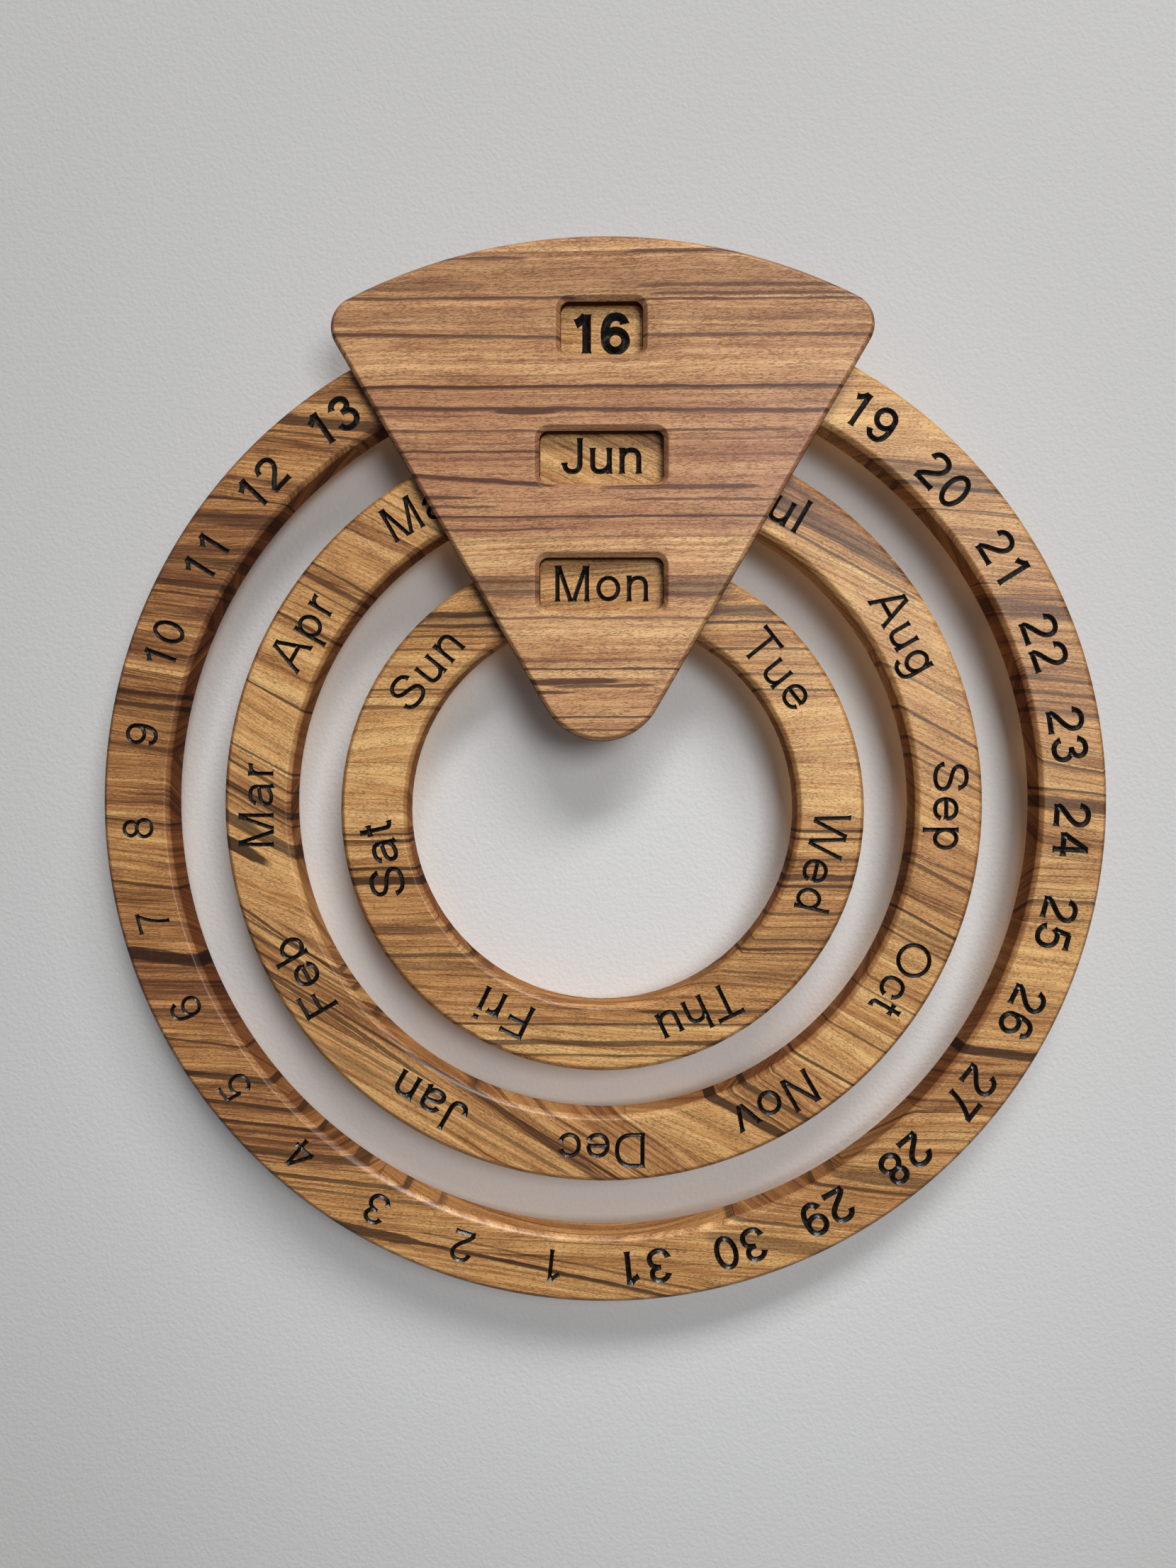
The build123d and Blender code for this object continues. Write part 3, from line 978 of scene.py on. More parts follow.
@dataclass(frozen=True)
class Hardwood:
    """Oiled hardwood in a panel of boards glued edge to edge.

    Its centre is in metres, in the row's frame. Its angle is how far its boards run down to the
    right. joint is how far above the centre one of its joints runs, and below how many of its
    boards, which are given from the bottom up, lie under that joint. contrast is how far its light
    and dark layers stand apart, wander how far the layers drift, slant how much they may run across
    the board, and paler_right how much paler it gets over 100 mm along the boards.
    """

    name: str
    centre: tuple[float, float, float]
    angle: float
    joint: float
    board_width: float
    boards: tuple[Board, ...]
    below: int
    seed: float = 0.0
    light: tuple[int, int, int] = (242, 194, 128)
    middle: tuple[int, int, int] = (201, 143, 85)
    dark: tuple[int, int, int] = (104, 63, 35)
    stain: tuple[int, int, int] = (52, 29, 17)
    rosy: tuple[int, int, int] = (160, 104, 74)
    contrast: float = 2.9
    wander: float = 4.0
    slant: float = 0.09
    paler_right: float = 0.0
    # Painted shade: side multiplies the colour of a board's sides and chamfers, which face away
    # from the front, so that they look darker as where shade falls.
    side: tuple[int, int, int] = (238, 230, 222)  # what a board's edge multiplies its colour by
    end_grain: tuple[int, int, int] = (192, 168, 150)
    streaks: tuple[Streak, ...] = ()

    def board_kinds(self, g: Graph, place: Socket) -> tuple[Socket, Socket, Socket]:
        """Each board's paleness, rosiness and lines, by its place from bottom to top."""
        node = g.node("ValToRGB", {0: place})
        ramp = node.color_ramp
        ramp.interpolation = "CONSTANT"
        ramp.elements.remove(ramp.elements[1])
        ramp.elements[0].color = (*self.boards[0].value, 1.0)
        for number, board in enumerate(self.boards[1:], 1):
            ramp.elements.new(number / len(self.boards)).color = (*board.value, 1.0)
        parts = g.node("SeparateColor", {0: node.outputs[0]}).outputs
        return parts[0], parts[1], parts[2]

    def colour_of(self, g: Graph, tone: Socket, rosiness: Socket) -> Socket:
        """The wood's ground colour, from dark through middle to light."""
        node = g.node("ValToRGB", {0: tone})
        stops = node.color_ramp.elements
        stops[0].position, stops[0].color = 0.04, rgb(*self.dark)
        stops[1].position, stops[1].color = 0.96, rgb(*self.light)
        stops.new(0.48).color = rgb(*self.middle)
        reddened = g.mix(0.6, node.outputs[0], rgb(*self.rosy))
        return g.mix(rosiness, node.outputs[0], reddened)

    def streaked(
        self, g: Graph, colour: Socket, along: Socket, across: Socket, level: Socket
    ) -> Socket:
        """The colour under the panel's own dark streaks."""
        if not self.streaks:
            return colour
        ragged = g.grain(along, 11.0, across, 0.8, 3.0, 3.0)
        darkest = None
        for streak in self.streaks:
            mask = g.use(
                streak_group(), Along=along, Level=level, Ragged=ragged,
                Height=streak.height, Half=streak.width / 2, Slope=streak.slope / 100,
                Start=streak.start, End=streak.end, Above=streak.above, Below=streak.below,
                Strength=streak.strength,
            ).outputs[0]
            darkest = mask if darkest is None else g.math("MAXIMUM", darkest, mask)
        return g.mix(darkest, colour, rgb(*self.stain))

    def material(self) -> bpy.types.Material:
        """Build the material on Object coordinates."""
        material, g, shader = new_material(self.name)
        place = g.node("TexCoord")
        turned = g.node("Mapping", {
            "Vector": place.outputs["Object"], "Location": self.centre,
            "Rotation": (0.0, math.radians(self.angle), 0.0), "Scale": (1 / METRE,) * 3,
        }, vector_type="TEXTURE")
        along, depth, across = g.node("SeparateXYZ", {0: turned.outputs[0]}).outputs
        boards = g.use(
            board_group(), Across=across, Joint=self.joint, Width=self.board_width,
            Below=float(self.below), Count=float(len(self.boards)), Seed=self.seed,
        ).outputs
        figure = g.use(
            figure_group(), Along=along, Across=across, Depth=depth, Pick=boards["Pick"],
            Second_Pick=boards["Second Pick"], Wander=self.wander, Slant=self.slant,
        ).outputs
        facing = g.use(
            facing_group(), Normal=place.outputs["Normal"], Turn=-math.radians(self.angle)
        ).outputs

        pale, rosiness, lined = self.board_kinds(g, boards["Place"])
        spread = g.swing(figure["Tone"], self.contrast)
        fine = g.swing(figure["Fibres"], 1.15)
        paler = g.times(along, self.paler_right / 100)
        colour = self.colour_of(g, g.add(pale, spread, fine, paler), rosiness)
        dark, stain = rgb(*self.dark), rgb(*self.stain)
        colour = g.mix(g.times(figure["Haze"], lined, 0.65), colour, dark)
        colour = g.mix(g.times(figure["Line"], g.add(0.12, g.times(lined, 0.75))), colour, stain)
        colour = self.streaked(g, colour, along, across, figure["Level"])
        colour = g.mix(g.times(figure["Pores"], 0.56), colour, g.mix(0.25, dark, stain))
        colour = g.mix(g.times(boards["Joint Line"], 0.4), colour, stain)
        # Painted shade: surfaces that face sideways are darkened by the side colour.
        colour = g.mix(facing["Side"], colour, rgb(*self.side), "MULTIPLY")
        colour = g.mix(facing["End"], colour, rgb(*self.end_grain), "MULTIPLY")
        g.feed(shader.inputs["Base Color"], colour)

        gloss = g.add(
            0.46, g.times(figure["Pores"], 0.20), g.times(facing["Side"], 0.34),
            g.times(facing["End"], 0.12),
        )
        gloss = g.add(gloss, g.swing(figure["Fibres"], 0.16))
        g.feed(shader.inputs["Roughness"], gloss)
        shader.inputs["Specular IOR Level"].default_value = 0.2
        coat = g.add(g.ramp(facing["Side"], 0.0, 1.0, 0.24, 0.0), g.times(facing["Edge"], 0.40))
        g.feed(shader.inputs["Coat Weight"], coat)
        shader.inputs["Coat Roughness"].default_value = 0.26
        height = g.minus(g.times(figure["Fibres"], 0.35), figure["Pores"])
        height = g.minus(height, g.times(boards["Joint Line"], 0.6))
        g.feed(shader.inputs["Normal"], g.bump(0.7, 0.00012, height))
        return material


@dataclass(frozen=True)
class Enamel:
    """Black paint that fills the letters' grooves, glossy and laid a little unevenly."""

    name: str = "black_enamel"

    def material(self) -> bpy.types.Material:
        """Build the material on Object coordinates."""
        material, g, shader = new_material(self.name)
        place = g.node("TexCoord").outputs["Object"]
        runs = g.noise(place, 1100.0, 3.0)
        thin = g.ramp(g.noise(place, 640.0, 3.0, 0.6), 0.50, 0.68)
        paint = g.mix(runs, rgb(6, 5, 5), rgb(26, 22, 20))
        g.feed(shader.inputs["Base Color"], g.mix(g.times(thin, 0.8), paint, rgb(58, 42, 30)))
        g.feed(shader.inputs["Roughness"], g.ramp(runs, 0.3, 0.7, 0.16, 0.38))
        g.feed(shader.inputs["Normal"], g.bump(0.6, 0.00015, runs))
        return material


@dataclass(frozen=True)
class ZincSteel:
    """Steel with a thin zinc plating, dulled by handling."""

    name: str = "zinc_plated_steel"

    def material(self) -> bpy.types.Material:
        """Build the material on Object coordinates."""
        material, g, shader = new_material(self.name)
        place = g.node("TexCoord").outputs["Object"]
        cloud = g.noise(place, 240.0, 4.0, 0.6)
        drawn = g.node("Mapping", {"Vector": place, "Scale": (900.0, 900.0, 40.0)}).outputs[0]
        brushed = g.noise(drawn)
        g.feed(shader.inputs["Base Color"], g.mix(cloud, rgb(176, 178, 180), rgb(214, 214, 210)))
        gloss = g.add(0.30, g.times(cloud, 0.16), g.times(brushed, 0.10))
        g.feed(shader.inputs["Roughness"], gloss)
        shader.inputs["Metallic"].default_value = 0.55
        g.feed(shader.inputs["Normal"], g.bump(0.3, 0.00004, brushed))
        return material


# ---------------------------------------------------------------- the calendar's pieces


@dataclass(frozen=True)
class Ring:
    """One ring of the calendar, with its numbers or words.

    label_radius is how far the middle of its capitals stands from its centre, and shown is the
    label at its top.
    """

    name: str
    labels: tuple[Label, ...]
    shown: int
    label_radius: float
    finish: Hardwood
    width: float = 30.0
    chamfer: float = 2.0
    easing: float = 0.45
    segments: int = 12  # in each label's share of the ring
    spoke_points: int = 8  # across the ring's front where two shares meet
    groove_slope: float = 0.95  # depth of a groove over its distance from the rim

    @property
    def nodes(self) -> list[str]:
        """The names of the ring's boards."""
        return boards_of(self.name)

    def sector(self, inner: float, outer: float) -> Array:
        """The outline of one label's share of the ring's front, anticlockwise from lower left.

        Its sides are spokes at half a share to each side, and its ends are arcs of equal steps.
        """
        half = math.pi / len(self.labels)
        arc = np.linspace(-half, half, self.segments + 1)
        spoke = np.linspace(inner, outer, self.spoke_points)[1:-1]
        rows = [
            (inner, arc), (spoke, np.full(len(spoke), half)),
            (outer, arc[::-1]), (spoke[::-1], np.full(len(spoke), -half)),
        ]
        return np.concatenate([
            np.stack([radius * np.sin(angle), radius * np.cos(angle)], axis=1)
            for radius, angle in rows
        ])

    def front(
        self, lettering: Lettering, number: int, inner: float, outer: float
    ) -> tuple[Array, Array, Array]:
        """One label's share of the ring's front, as if the label were at the top.

        A point inside a letter is as deep as it is far from the letter's rim, times the slope.

        Args:
            lettering: How letters are cut.
            number: Which label.
            inner: The front's inner radius.
            outer: Its outer radius.

        Returns:
            Points (x, depth, z), triangles, and which triangles are painted.
        """
        groove = lettering.word(self.labels[number])
        rise = np.array([0.0, self.label_radius])
        rim, floor, outline = groove.rim + rise, groove.floor + rise, self.sector(inner, outer)
        border = closed_edges(len(outline))
        edges = np.concatenate([border, groove.edges + len(outline)])
        points, triangles = triangulate(np.concatenate([outline, rim, floor]), edges)
        triangles = triangles[within(points[triangles].mean(axis=1), outline, border)]
        painted = within(points[triangles].mean(axis=1), rim, groove.edges)
        deep = distance_to_edges(points, rim, groove.edges)
        deep[~within(points, rim, groove.edges) | (deep < WELD)] = 0.0
        return at_depth(points, deep * self.groove_slope), triangles, painted

    def profile(self, inner: float, outer: float, front: float, back: float) -> Array:
        """The ring's section from its front's outer rim round the back to its inner rim."""
        c = self.chamfer
        corners = np.array([
            (outer - c - AHEAD, front), (outer - c, front), (outer, front + c), (outer, back - c),
            (outer - c, back), (inner + c, back), (inner, back - c), (inner, front + c),
            (inner + c, front), (inner + c + AHEAD, front),
        ])
        rounded = [
            eased(corners[i], corners[i - 1], corners[i + 1], self.easing)
            for i in range(1, len(corners) - 1)
        ]
        lip = c + self.easing + LIP
        return np.concatenate([[(outer - lip, front)], *rounded, [(inner + lip, front)]])

    def build(
        self, lettering: Lettering, wood: bpy.types.Material, paint: bpy.types.Material
    ) -> None:
        """Make the ring as one carved piece in place of its boards.

        At the angle a from straight up, a share's point (x, z) stands at (x cos a + z sin a,
        z cos a - x sin a).
        """
        low, high = box_of(self.nodes)
        centre, outer = (low + high) / 2, (high[0] - low[0]) / 2
        profile = self.profile(outer - self.width, outer, low[1], high[1])
        surface = Surface()
        for number in range(len(self.labels)):
            points, triangles, painted = self.front(
                lettering, number, profile[-1, 0], profile[0, 0]
            )
            turn = 2 * math.pi * (number - self.shown) / len(self.labels)
            x, depth, z = points.T
            flat = [
                x * math.cos(turn) + z * math.sin(turn), z * math.cos(turn) - x * math.sin(turn),
            ]
            surface.add(at_depth(np.stack(flat, axis=1), depth + low[1]), triangles, painted)
        steps = len(self.labels) * self.segments
        angles = (np.arange(steps) / steps - 0.5 / len(self.labels)) * 2 * math.pi
        inwards = -np.stack([np.sin(angles), np.cos(angles)], axis=1)
        surface.add(*swept(np.zeros_like(inwards), inwards, profile))
        piece = surface.piece(f"{self.name}_carved", centre[0], centre[2], wood, paint)
        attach(piece, self.name)
        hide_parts(*self.nodes)


@dataclass(frozen=True)
class Window:
    """A window's length, and the height of its middle above the middle of the face plate's arc."""

    length: float
    centre: float
    height: float = 23.0
    corner: float = 3.8
    corner_points: int = 13

    def loop(self, spacing: float = 0.6) -> tuple[Array, Array]:
        """The window's outline, and the way into the opening at each of its points.

        Each corner is a quarter circle about (length/2 - r, height/2 - r), and a straight side
        joins it to the next.
        """
        middle = np.array([self.length / 2, self.height / 2]) - self.corner
        points, normals = [], []
        for quarter, (x, z) in enumerate(((1, 1), (-1, 1), (-1, -1), (1, -1))):
            angle = np.radians(quarter * 90 + np.linspace(0, 90, self.corner_points))
            way = np.stack([np.cos(angle), np.sin(angle)], axis=1)
            points.append(middle * (x, z) + self.corner * way)
            normals.append(way)
        loop, normal = even_loop(np.concatenate(points), np.concatenate(normals), spacing)
        return loop + np.array([0.0, self.centre]), -normal


def even_loop(points: Array, normals: Array, spacing: float) -> tuple[Array, Array]:
    """Divide a closed line evenly between the points that it has.

    Args:
        points: Points along the line, whose first isn't repeated.
        normals: A direction at each.
        spacing: The longest step.

    Returns:
        More points, and a unit direction at each.
    """
    step = np.roll(points, -1, axis=0) - points
    which, share, _ = divide(step, spacing)
    way = normals[which] + share * (np.roll(normals, -1, axis=0) - normals)[which]
    return points[which] + share * step[which], way / np.linalg.norm(way, axis=1)[:, None]


@dataclass(frozen=True)
class FacePlate:
    """The sector-shaped plate in front, cut from a panel of four boards, with its three windows."""

    finish: Hardwood
    middle: float = -210.0  # height of the middle of its arc in the row's frame
    radius: float = 249.0
    half_angle: float = 30.0
    corner: float = 13.5
    tip: float = 28.0
    chamfer: float = 1.8
    window_chamfer: float = 2.2
    easing: float = 0.55
    window_easing: float = 0.3
    back_easing: float = 0.3
    fewest_steps: int = 8  # along each of its arcs
    windows: tuple[Window, ...] = (Window(36.0, 209.2), Window(54.5, 152.8), Window(54.5, 97.3))

    def outline(self, spacing: float = 1.0) -> tuple[Array, Array]:
        """Its outline, anticlockwise from the right side, and the way out at each point.

        The big arc has the plate's radius about the origin. An upper corner's circle, of radius c,
        lies inside the arc and touches the side, so its centre is R - c from the origin and c from
        the side. The tip's circle, of radius t, touches both sides, so its centre is
        t / sin(half angle) above the origin.
        """
        half = math.radians(self.half_angle)
        reach = self.radius - self.corner
        off = half - math.asin(self.corner / reach)  # from straight up to an upper corner's centre
        centre = reach * np.array([math.sin(off), math.cos(off)])
        side = -half  # the way out of the right side, from the positive x axis
        arcs = (
            (centre, self.corner, side, math.pi / 2 - off),
            (np.zeros(2), self.radius, math.pi / 2 - off, math.pi / 2 + off),
            (centre * (-1, 1), self.corner, math.pi / 2 + off, math.pi - side),
            ((0.0, self.tip / math.sin(half)), self.tip, math.pi - side, 2 * math.pi + side),
        )
        points, normals = [], []
        for middle, radius, first, last in arcs:
            count = max(self.fewest_steps, round(radius * abs(last - first) / spacing))
            angle = np.linspace(first, last, count + 1)
            way = np.stack([np.cos(angle), np.sin(angle)], axis=1)
            points.append(middle + radius * way)
            normals.append(way)
        return even_loop(np.concatenate(points), np.concatenate(normals), spacing)

    def profile(self, chamfer: float, easing: float, front: float, back: float) -> Array:
        """An edge's section from the front's flat lip over the chamfer to the back's flat lip."""
        corners = np.array([
            (chamfer + AHEAD, front), (chamfer, front), (0, front + chamfer), (0, back),
            (AHEAD, back),
        ])
        rounded = [
            eased(corners[i], corners[i - 1], corners[i + 1], radius, steps=5)
            for i, radius in enumerate((easing, easing, self.back_easing), 1)
        ]
        first, last = (chamfer + easing + LIP, front), (self.back_easing + LIP, back)
        return np.concatenate([[first], *rounded, [last]])

    def face(self, rings: list[Array], depth: float) -> tuple[Array, Array]:
        """A flat face inside the first of some closed lines and outside the others."""
        starts = np.cumsum([0] + [len(ring) for ring in rings])
        edges = [closed_edges(len(ring), start) for ring, start in zip(rings, starts)]
        points, triangles = triangulate(np.concatenate(rings), np.concatenate(edges))
        centres = points[triangles].mean(axis=1)
        whole, *holes = (within(centres, ring, closed_edges(len(ring))) for ring in rings)
        return at_depth(points, depth), triangles[whole & ~np.any(holes, axis=0)]

    def build(self) -> None:
        """Make the plate as one carved piece in place of its boards."""
        nodes = boards_of("face")
        (_, front, _), (_, back, _) = box_of(nodes)
        lines = [(*self.outline(), self.chamfer, self.easing)]
        for window in self.windows:
            lines.append((*window.loop(), self.window_chamfer, self.window_easing))
        surface = Surface()
        front_rings, back_rings = [], []
        for loop, normal, chamfer, easing in lines:
            profile = self.profile(chamfer, easing, front, back)
            surface.add(*swept(loop, normal, profile))
            front_rings.append(loop - profile[0, 0] * normal)
            back_rings.append(loop - profile[-1, 0] * normal)
        surface.add(*self.face(front_rings, front))
        surface.add(*self.face(back_rings, back))
        piece = surface.piece("face_plate_carved", 0.0, self.middle, self.finish.material())
        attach(piece, "frame")
        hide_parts(*nodes)


@dataclass(frozen=True)
class Screws:
    """Countersunk wood screws that go straight in from the wall's side, with cross recesses.

    places are the middles of their heads, (x, z) in the row's frame. head and shank are radii.
    """

    node: str
    places: tuple[tuple[float, float], ...]
    head: float
    shank: float
    length: float
    rim: float = 0.25  # height of the head's edge, and how far its top is cut back from it
    reach: float = 0.62  # of the cross, as a share of the head's radius
    arm: float = 0.20  # half the cross's width at its middle, as such a share
    taper: float = 0.13  # how much less that is at the ends of its arms
    steep: float = 3.0  # slope of the cross's walls
    cone: float = 0.75  # slope of the cone that its floor follows
    quarter: tuple[float, ...] = (0, 9, 20, 45, 70, 81)  # degrees, in each quarter of a turn

    def shaft(self) -> tuple[Array, Array]:
        """The screw's cone, shank and point, as a grid over its length and its angle.

        Under the rim the radius falls by one for each one of depth, down to the shank's, and over
        the last two shanks' radii it falls to nothing.
        """
        neck = self.head - self.shank
        depth = [0.0, self.rim, neck * 0.5, neck, self.length - 2 * self.shank, self.length]
        y, a = np.meshgrid(depth, self.angles, indexing="ij")
        radius = np.maximum(self.head - np.maximum(y - self.rim, 0.0), self.shank)
        radius = radius * np.clip((self.length - y) / (2 * self.shank), 0.0, 1.0)
        radius[0] -= self.rim
        flat = np.stack([radius * np.cos(a), radius * np.sin(a)], axis=2)
        return at_depth(flat, -y), grid_triangles(len(depth), len(self.angles))

    @property
    def angles(self) -> Array:
        """Angles round the screw, closer together where the cross's arms are."""
        return np.radians((np.array(self.quarter) + 90.0 * np.arange(4)[:, None]).reshape(-1))

    def top(self) -> tuple[Array, Array]:
        """The head's flat top with its cross, as a grid over distance from the middle and angle.

        The recess is as deep as its walls' slope times (w - t), where t is the distance to the
        nearer of the cross's two axes and w a half width that narrows outwards, but never deeper
        than a cone that comes up to the surface at the arms' ends.
        """
        end, rim = self.reach * self.head, self.head - self.rim
        reach = [share * end for share in (0.0, 0.15, 0.3, 0.5, 0.75, 1.0)]
        reach += [(end + rim) / 2, rim]
        r, a = np.meshgrid(reach, self.angles, indexing="ij")
        flat = np.stack([r * np.cos(a), r * np.sin(a)], axis=2)
        cut = self.steep * (
            self.head * (self.arm - self.taper * r / end) - np.abs(flat).min(axis=2)
        )
        depth = np.clip(np.minimum(cut, self.cone * (end - r)), 0.0, None)
        return at_depth(flat, -depth), grid_triangles(len(reach), len(self.angles))

    def build(self, steel: bpy.types.Material) -> None:
        """Make all of them as one piece."""
        surface = Surface()
        for x, z in self.places:
            for points, triangles in (self.shaft(), self.top()):
                surface.add(points + np.array([x, 0.0, z]), triangles)
        piece = surface.piece(f"{self.node}_cut", 0.0, 0.0, steel)
        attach(piece, "frame")
        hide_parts(self.node)


@dataclass(frozen=True)
class Frame:
    """What stands behind the face plate: the back plate, three hanger blocks and the steel."""

    back: Hardwood
    block: Hardwood
    steel: ZincSteel
    middle: float = -210.0  # height of the middle that the plate's screws stand round
    screw_radii: tuple[float, ...] = (183.35, 129.35, 71.7)  # from there, a pair at each
    screw_angle: float = 12.0  # degrees to either side of straight up
    keyhole_screws: tuple[float, ...] = (22.5, -13.5)  # heights in the row's frame

    def build(self) -> None:
        """Dress the plate and the blocks, and make the screws."""
        steel = self.steel.material()
        dress("back_plate", self.back.material())
        block = self.block.material()
        for name in ("date_hanger", "month_hanger", "day_hanger"):
            dress(name, block)
        dress("keyhole_plate", steel)
        angle = math.radians(self.screw_angle)
        places = tuple(
            (way * radius * math.sin(angle), self.middle + radius * math.cos(angle))
            for radius in self.screw_radii for way in (-1, 1)
        )
        Screws("plate_screws", places, head=3.8, shank=1.9, length=24.0).build(steel)
        places = tuple((0.0, height) for height in self.keyhole_screws)
        Screws("keyhole_screws", places, head=2.8, shank=1.4, length=8.0).build(steel)


def dress(node: str, material: bpy.types.Material) -> None:
    """Give a CAD node its finish."""
    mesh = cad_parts[node].data
    mesh.materials.clear()
    mesh.materials.append(material)
    log.info("%s: %s", node, material.name)


@dataclass(frozen=True)
class Lamp:
    """A soft lamp: where it hangs, its width and height in metres, and its power in watts."""

    name: str
    place: tuple[float, float, float]
    width: float
    height: float
    power: float


@dataclass(frozen=True)
class Studio:
    """The wall, the lights and the camera."""

    wall_size: float = 8.0  # metres
    wall_gap: float = 0.0004  # metres behind the back plate
    # Painted light: the wall's colour is lightest at its brightest place and darkens towards its
    # edges, like a pool of light.
    wall_middle: tuple[int, int, int] = (222, 222, 221)
    wall_edge: tuple[int, int, int] = (196, 195, 193)
    wall_bright: tuple[float, float, float] = (0.0, 0.0, -0.33)  # the brightest place on it
    lamps: tuple[Lamp, ...] = (
        Lamp("high_window", (0.85, -2.38, 3.00), 2.6, 0.85, 120.0),
        Lamp("room_light", (0.76, -2.00, 0.25), 0.9, 0.9, 21.0),
    )
    target: tuple[float, float, float] = (0.0, 0.0, -0.21)
    ambient: float = 0.115  # strength of the world's light
    backdrop: float = 0.62  # how bright the camera sees the world
    rear_power: float = 1.5
    rear_size: float = 20.0  # degrees across
    camera: tuple[float, float, float] = (0.002, -0.513, -0.1916)
    turn_left: float = 0.95  # degrees
    turn_down: float = 1.12
    lens: float = 24.97  # mm, on a sensor 36 mm wide

    def build(self) -> None:
        """Set the stage."""
        self.build_wall()
        self.build_lights()
        self.build_camera()

    def build_wall(self) -> None:
        """A pale painted wall, lighter in the middle and darker towards its edges as painted light.
        Seen from behind it isn't there, so that it hides nothing.
        """
        half, mesh = self.wall_size / 2, bpy.data.meshes.new("wall")
        square = ((-1, -1), (1, -1), (1, 1), (-1, 1))
        mesh.from_pydata([(half * x, self.wall_gap, half * z) for x, z in square], [], [range(4)])
        wall = add_object("wall", mesh)
        wall.visible_glossy = False  # or the steel behind the plate mirrors only its own gap
        material, g, shader = new_material("wall_paint")
        place = g.node("TexCoord").outputs["Object"]
        stipple = g.noise(place, 520.0, 4.0, 0.55)
        away = g.node("VectorMath", {0: place, 1: self.wall_bright}, operation="DISTANCE")
        away = g.add(away.outputs["Value"], g.swing(g.noise(place, 3.0, 1.0), 0.16))
        # Painted light: lighter near the brightest place, darker further off.
        colour = g.mix(g.ramp(away, 0.06, 0.50), rgb(*self.wall_middle), rgb(*self.wall_edge))
        g.feed(shader.inputs["Base Color"], colour)
        shader.inputs["Roughness"].default_value = 0.9
        shader.inputs["Specular IOR Level"].default_value = 0.1
        g.feed(shader.inputs["Normal"], g.bump(0.5, 0.0007, stipple))
        clear = g.node("BsdfTransparent")
        behind = g.node("NewGeometry").outputs["Backfacing"]
        shadow = g.node("LightPath").outputs["Is Shadow Ray"]
        both = g.node("MixShader", {
            0: g.math("MAXIMUM", behind, shadow), 1: shader.outputs[0], 2: clear.outputs[0],
        })
        g.feed(g.tree.nodes["Material Output"].inputs["Surface"], both.outputs[0])
        mesh.materials.append(material)

    def build_lights(self) -> None:
        """Two soft lamps in front, a dim world, and a soft sun from behind for the back."""
        for item in self.lamps:
            lamp = bpy.data.lights.new(item.name, "AREA")
            lamp.shape, lamp.energy = "RECTANGLE", item.power
            lamp.size, lamp.size_y = item.width, item.height
            piece = add_object(item.name, lamp)
            piece.location = item.place
            aim = Vector(self.target) - Vector(item.place)
            piece.rotation_euler = aim.to_track_quat("-Z", "Y").to_euler()
        sun = bpy.data.lights.new("rear", "SUN")
        sun.energy, sun.angle = self.rear_power, math.radians(self.rear_size)
        rear = add_object("rear", sun)
        rear.rotation_euler = Vector((0, -1, 0)).to_track_quat("-Z", "Z").to_euler()
        rear.visible_glossy = False
        world = bpy.data.worlds.new("studio")
        world.use_nodes = True
        g = Graph(world.node_tree)
        ground = world.node_tree.nodes["Background"]
        camera = g.node("LightPath").outputs["Is Camera Ray"]
        g.feed(ground.inputs["Color"], (0.90, 0.95, 1.05, 1.0))
        g.feed(ground.inputs["Strength"], g.ramp(camera, 0.0, 1.0, self.ambient, self.backdrop))
        bpy.context.scene.world = world

    def build_camera(self) -> None:
        """A wide lens close to the calendar, a little above its middle."""
        data = bpy.data.cameras.new("camera")
        data.lens, data.sensor_width = self.lens, 36.0
        camera = add_object("camera", data)
        camera.location = self.camera
        camera.rotation_euler = (
            math.radians(90 - self.turn_down), 0.0, math.radians(self.turn_left)
        )
        bpy.context.scene.camera = camera
        bpy.context.scene.view_settings.view_transform = "Standard"


MONTHS = (
    Label("Jan", 0.067), Label("Feb", 0.061), Label("Mar", 0.055), Label("Apr", 0.058),
    Label("May", 0.057), Label("Jun", 0.073), Label("Jul", 0.067), Label("Aug", 0.061),
    Label("Sep", 0.060), Label("Oct", 0.060), Label("Nov", 0.062), Label("Dec", 0.061),
)
DAYS = (
    Label("Mon", 0.061), Label("Tue", 0.056), Label("Wed", 0.056), Label("Thu", 0.060),
    Label("Fri", 0.065), Label("Sat", 0.063), Label("Sun", 0.059),
)
# Half strokes and heights of the numbers 1 to 31.
DATE_STROKES = (
    0.062, 0.064, 0.068, 0.062, 0.056, 0.056, 0.052, 0.058, 0.062, 0.066, 0.068, 0.074, 0.086,
    0.086, 0.098, 0.112, 0.096, 0.084, 0.078, 0.074, 0.072, 0.072, 0.074, 0.077, 0.076, 0.076,
    0.072, 0.082, 0.082, 0.078, 0.078,
)
DATE_HEIGHTS = (
    14.6, 14.6, 14.6, 14.8, 14.8, 14.8, 14.8, 14.4, 14.8, 14.8, 15.0, 15.4, 15.7,
    16.2, 16.7, 17.3, 16.7, 16.3, 16.1, 16.1, 16.1, 16.1, 16.1, 16.0, 15.6, 15.5,
    15.5, 15.5, 15.5, 15.5, 15.5,
)
DATES = tuple(
    Label(str(number), stroke, height)
    for number, (stroke, height) in enumerate(zip(DATE_STROKES, DATE_HEIGHTS), 1)
)

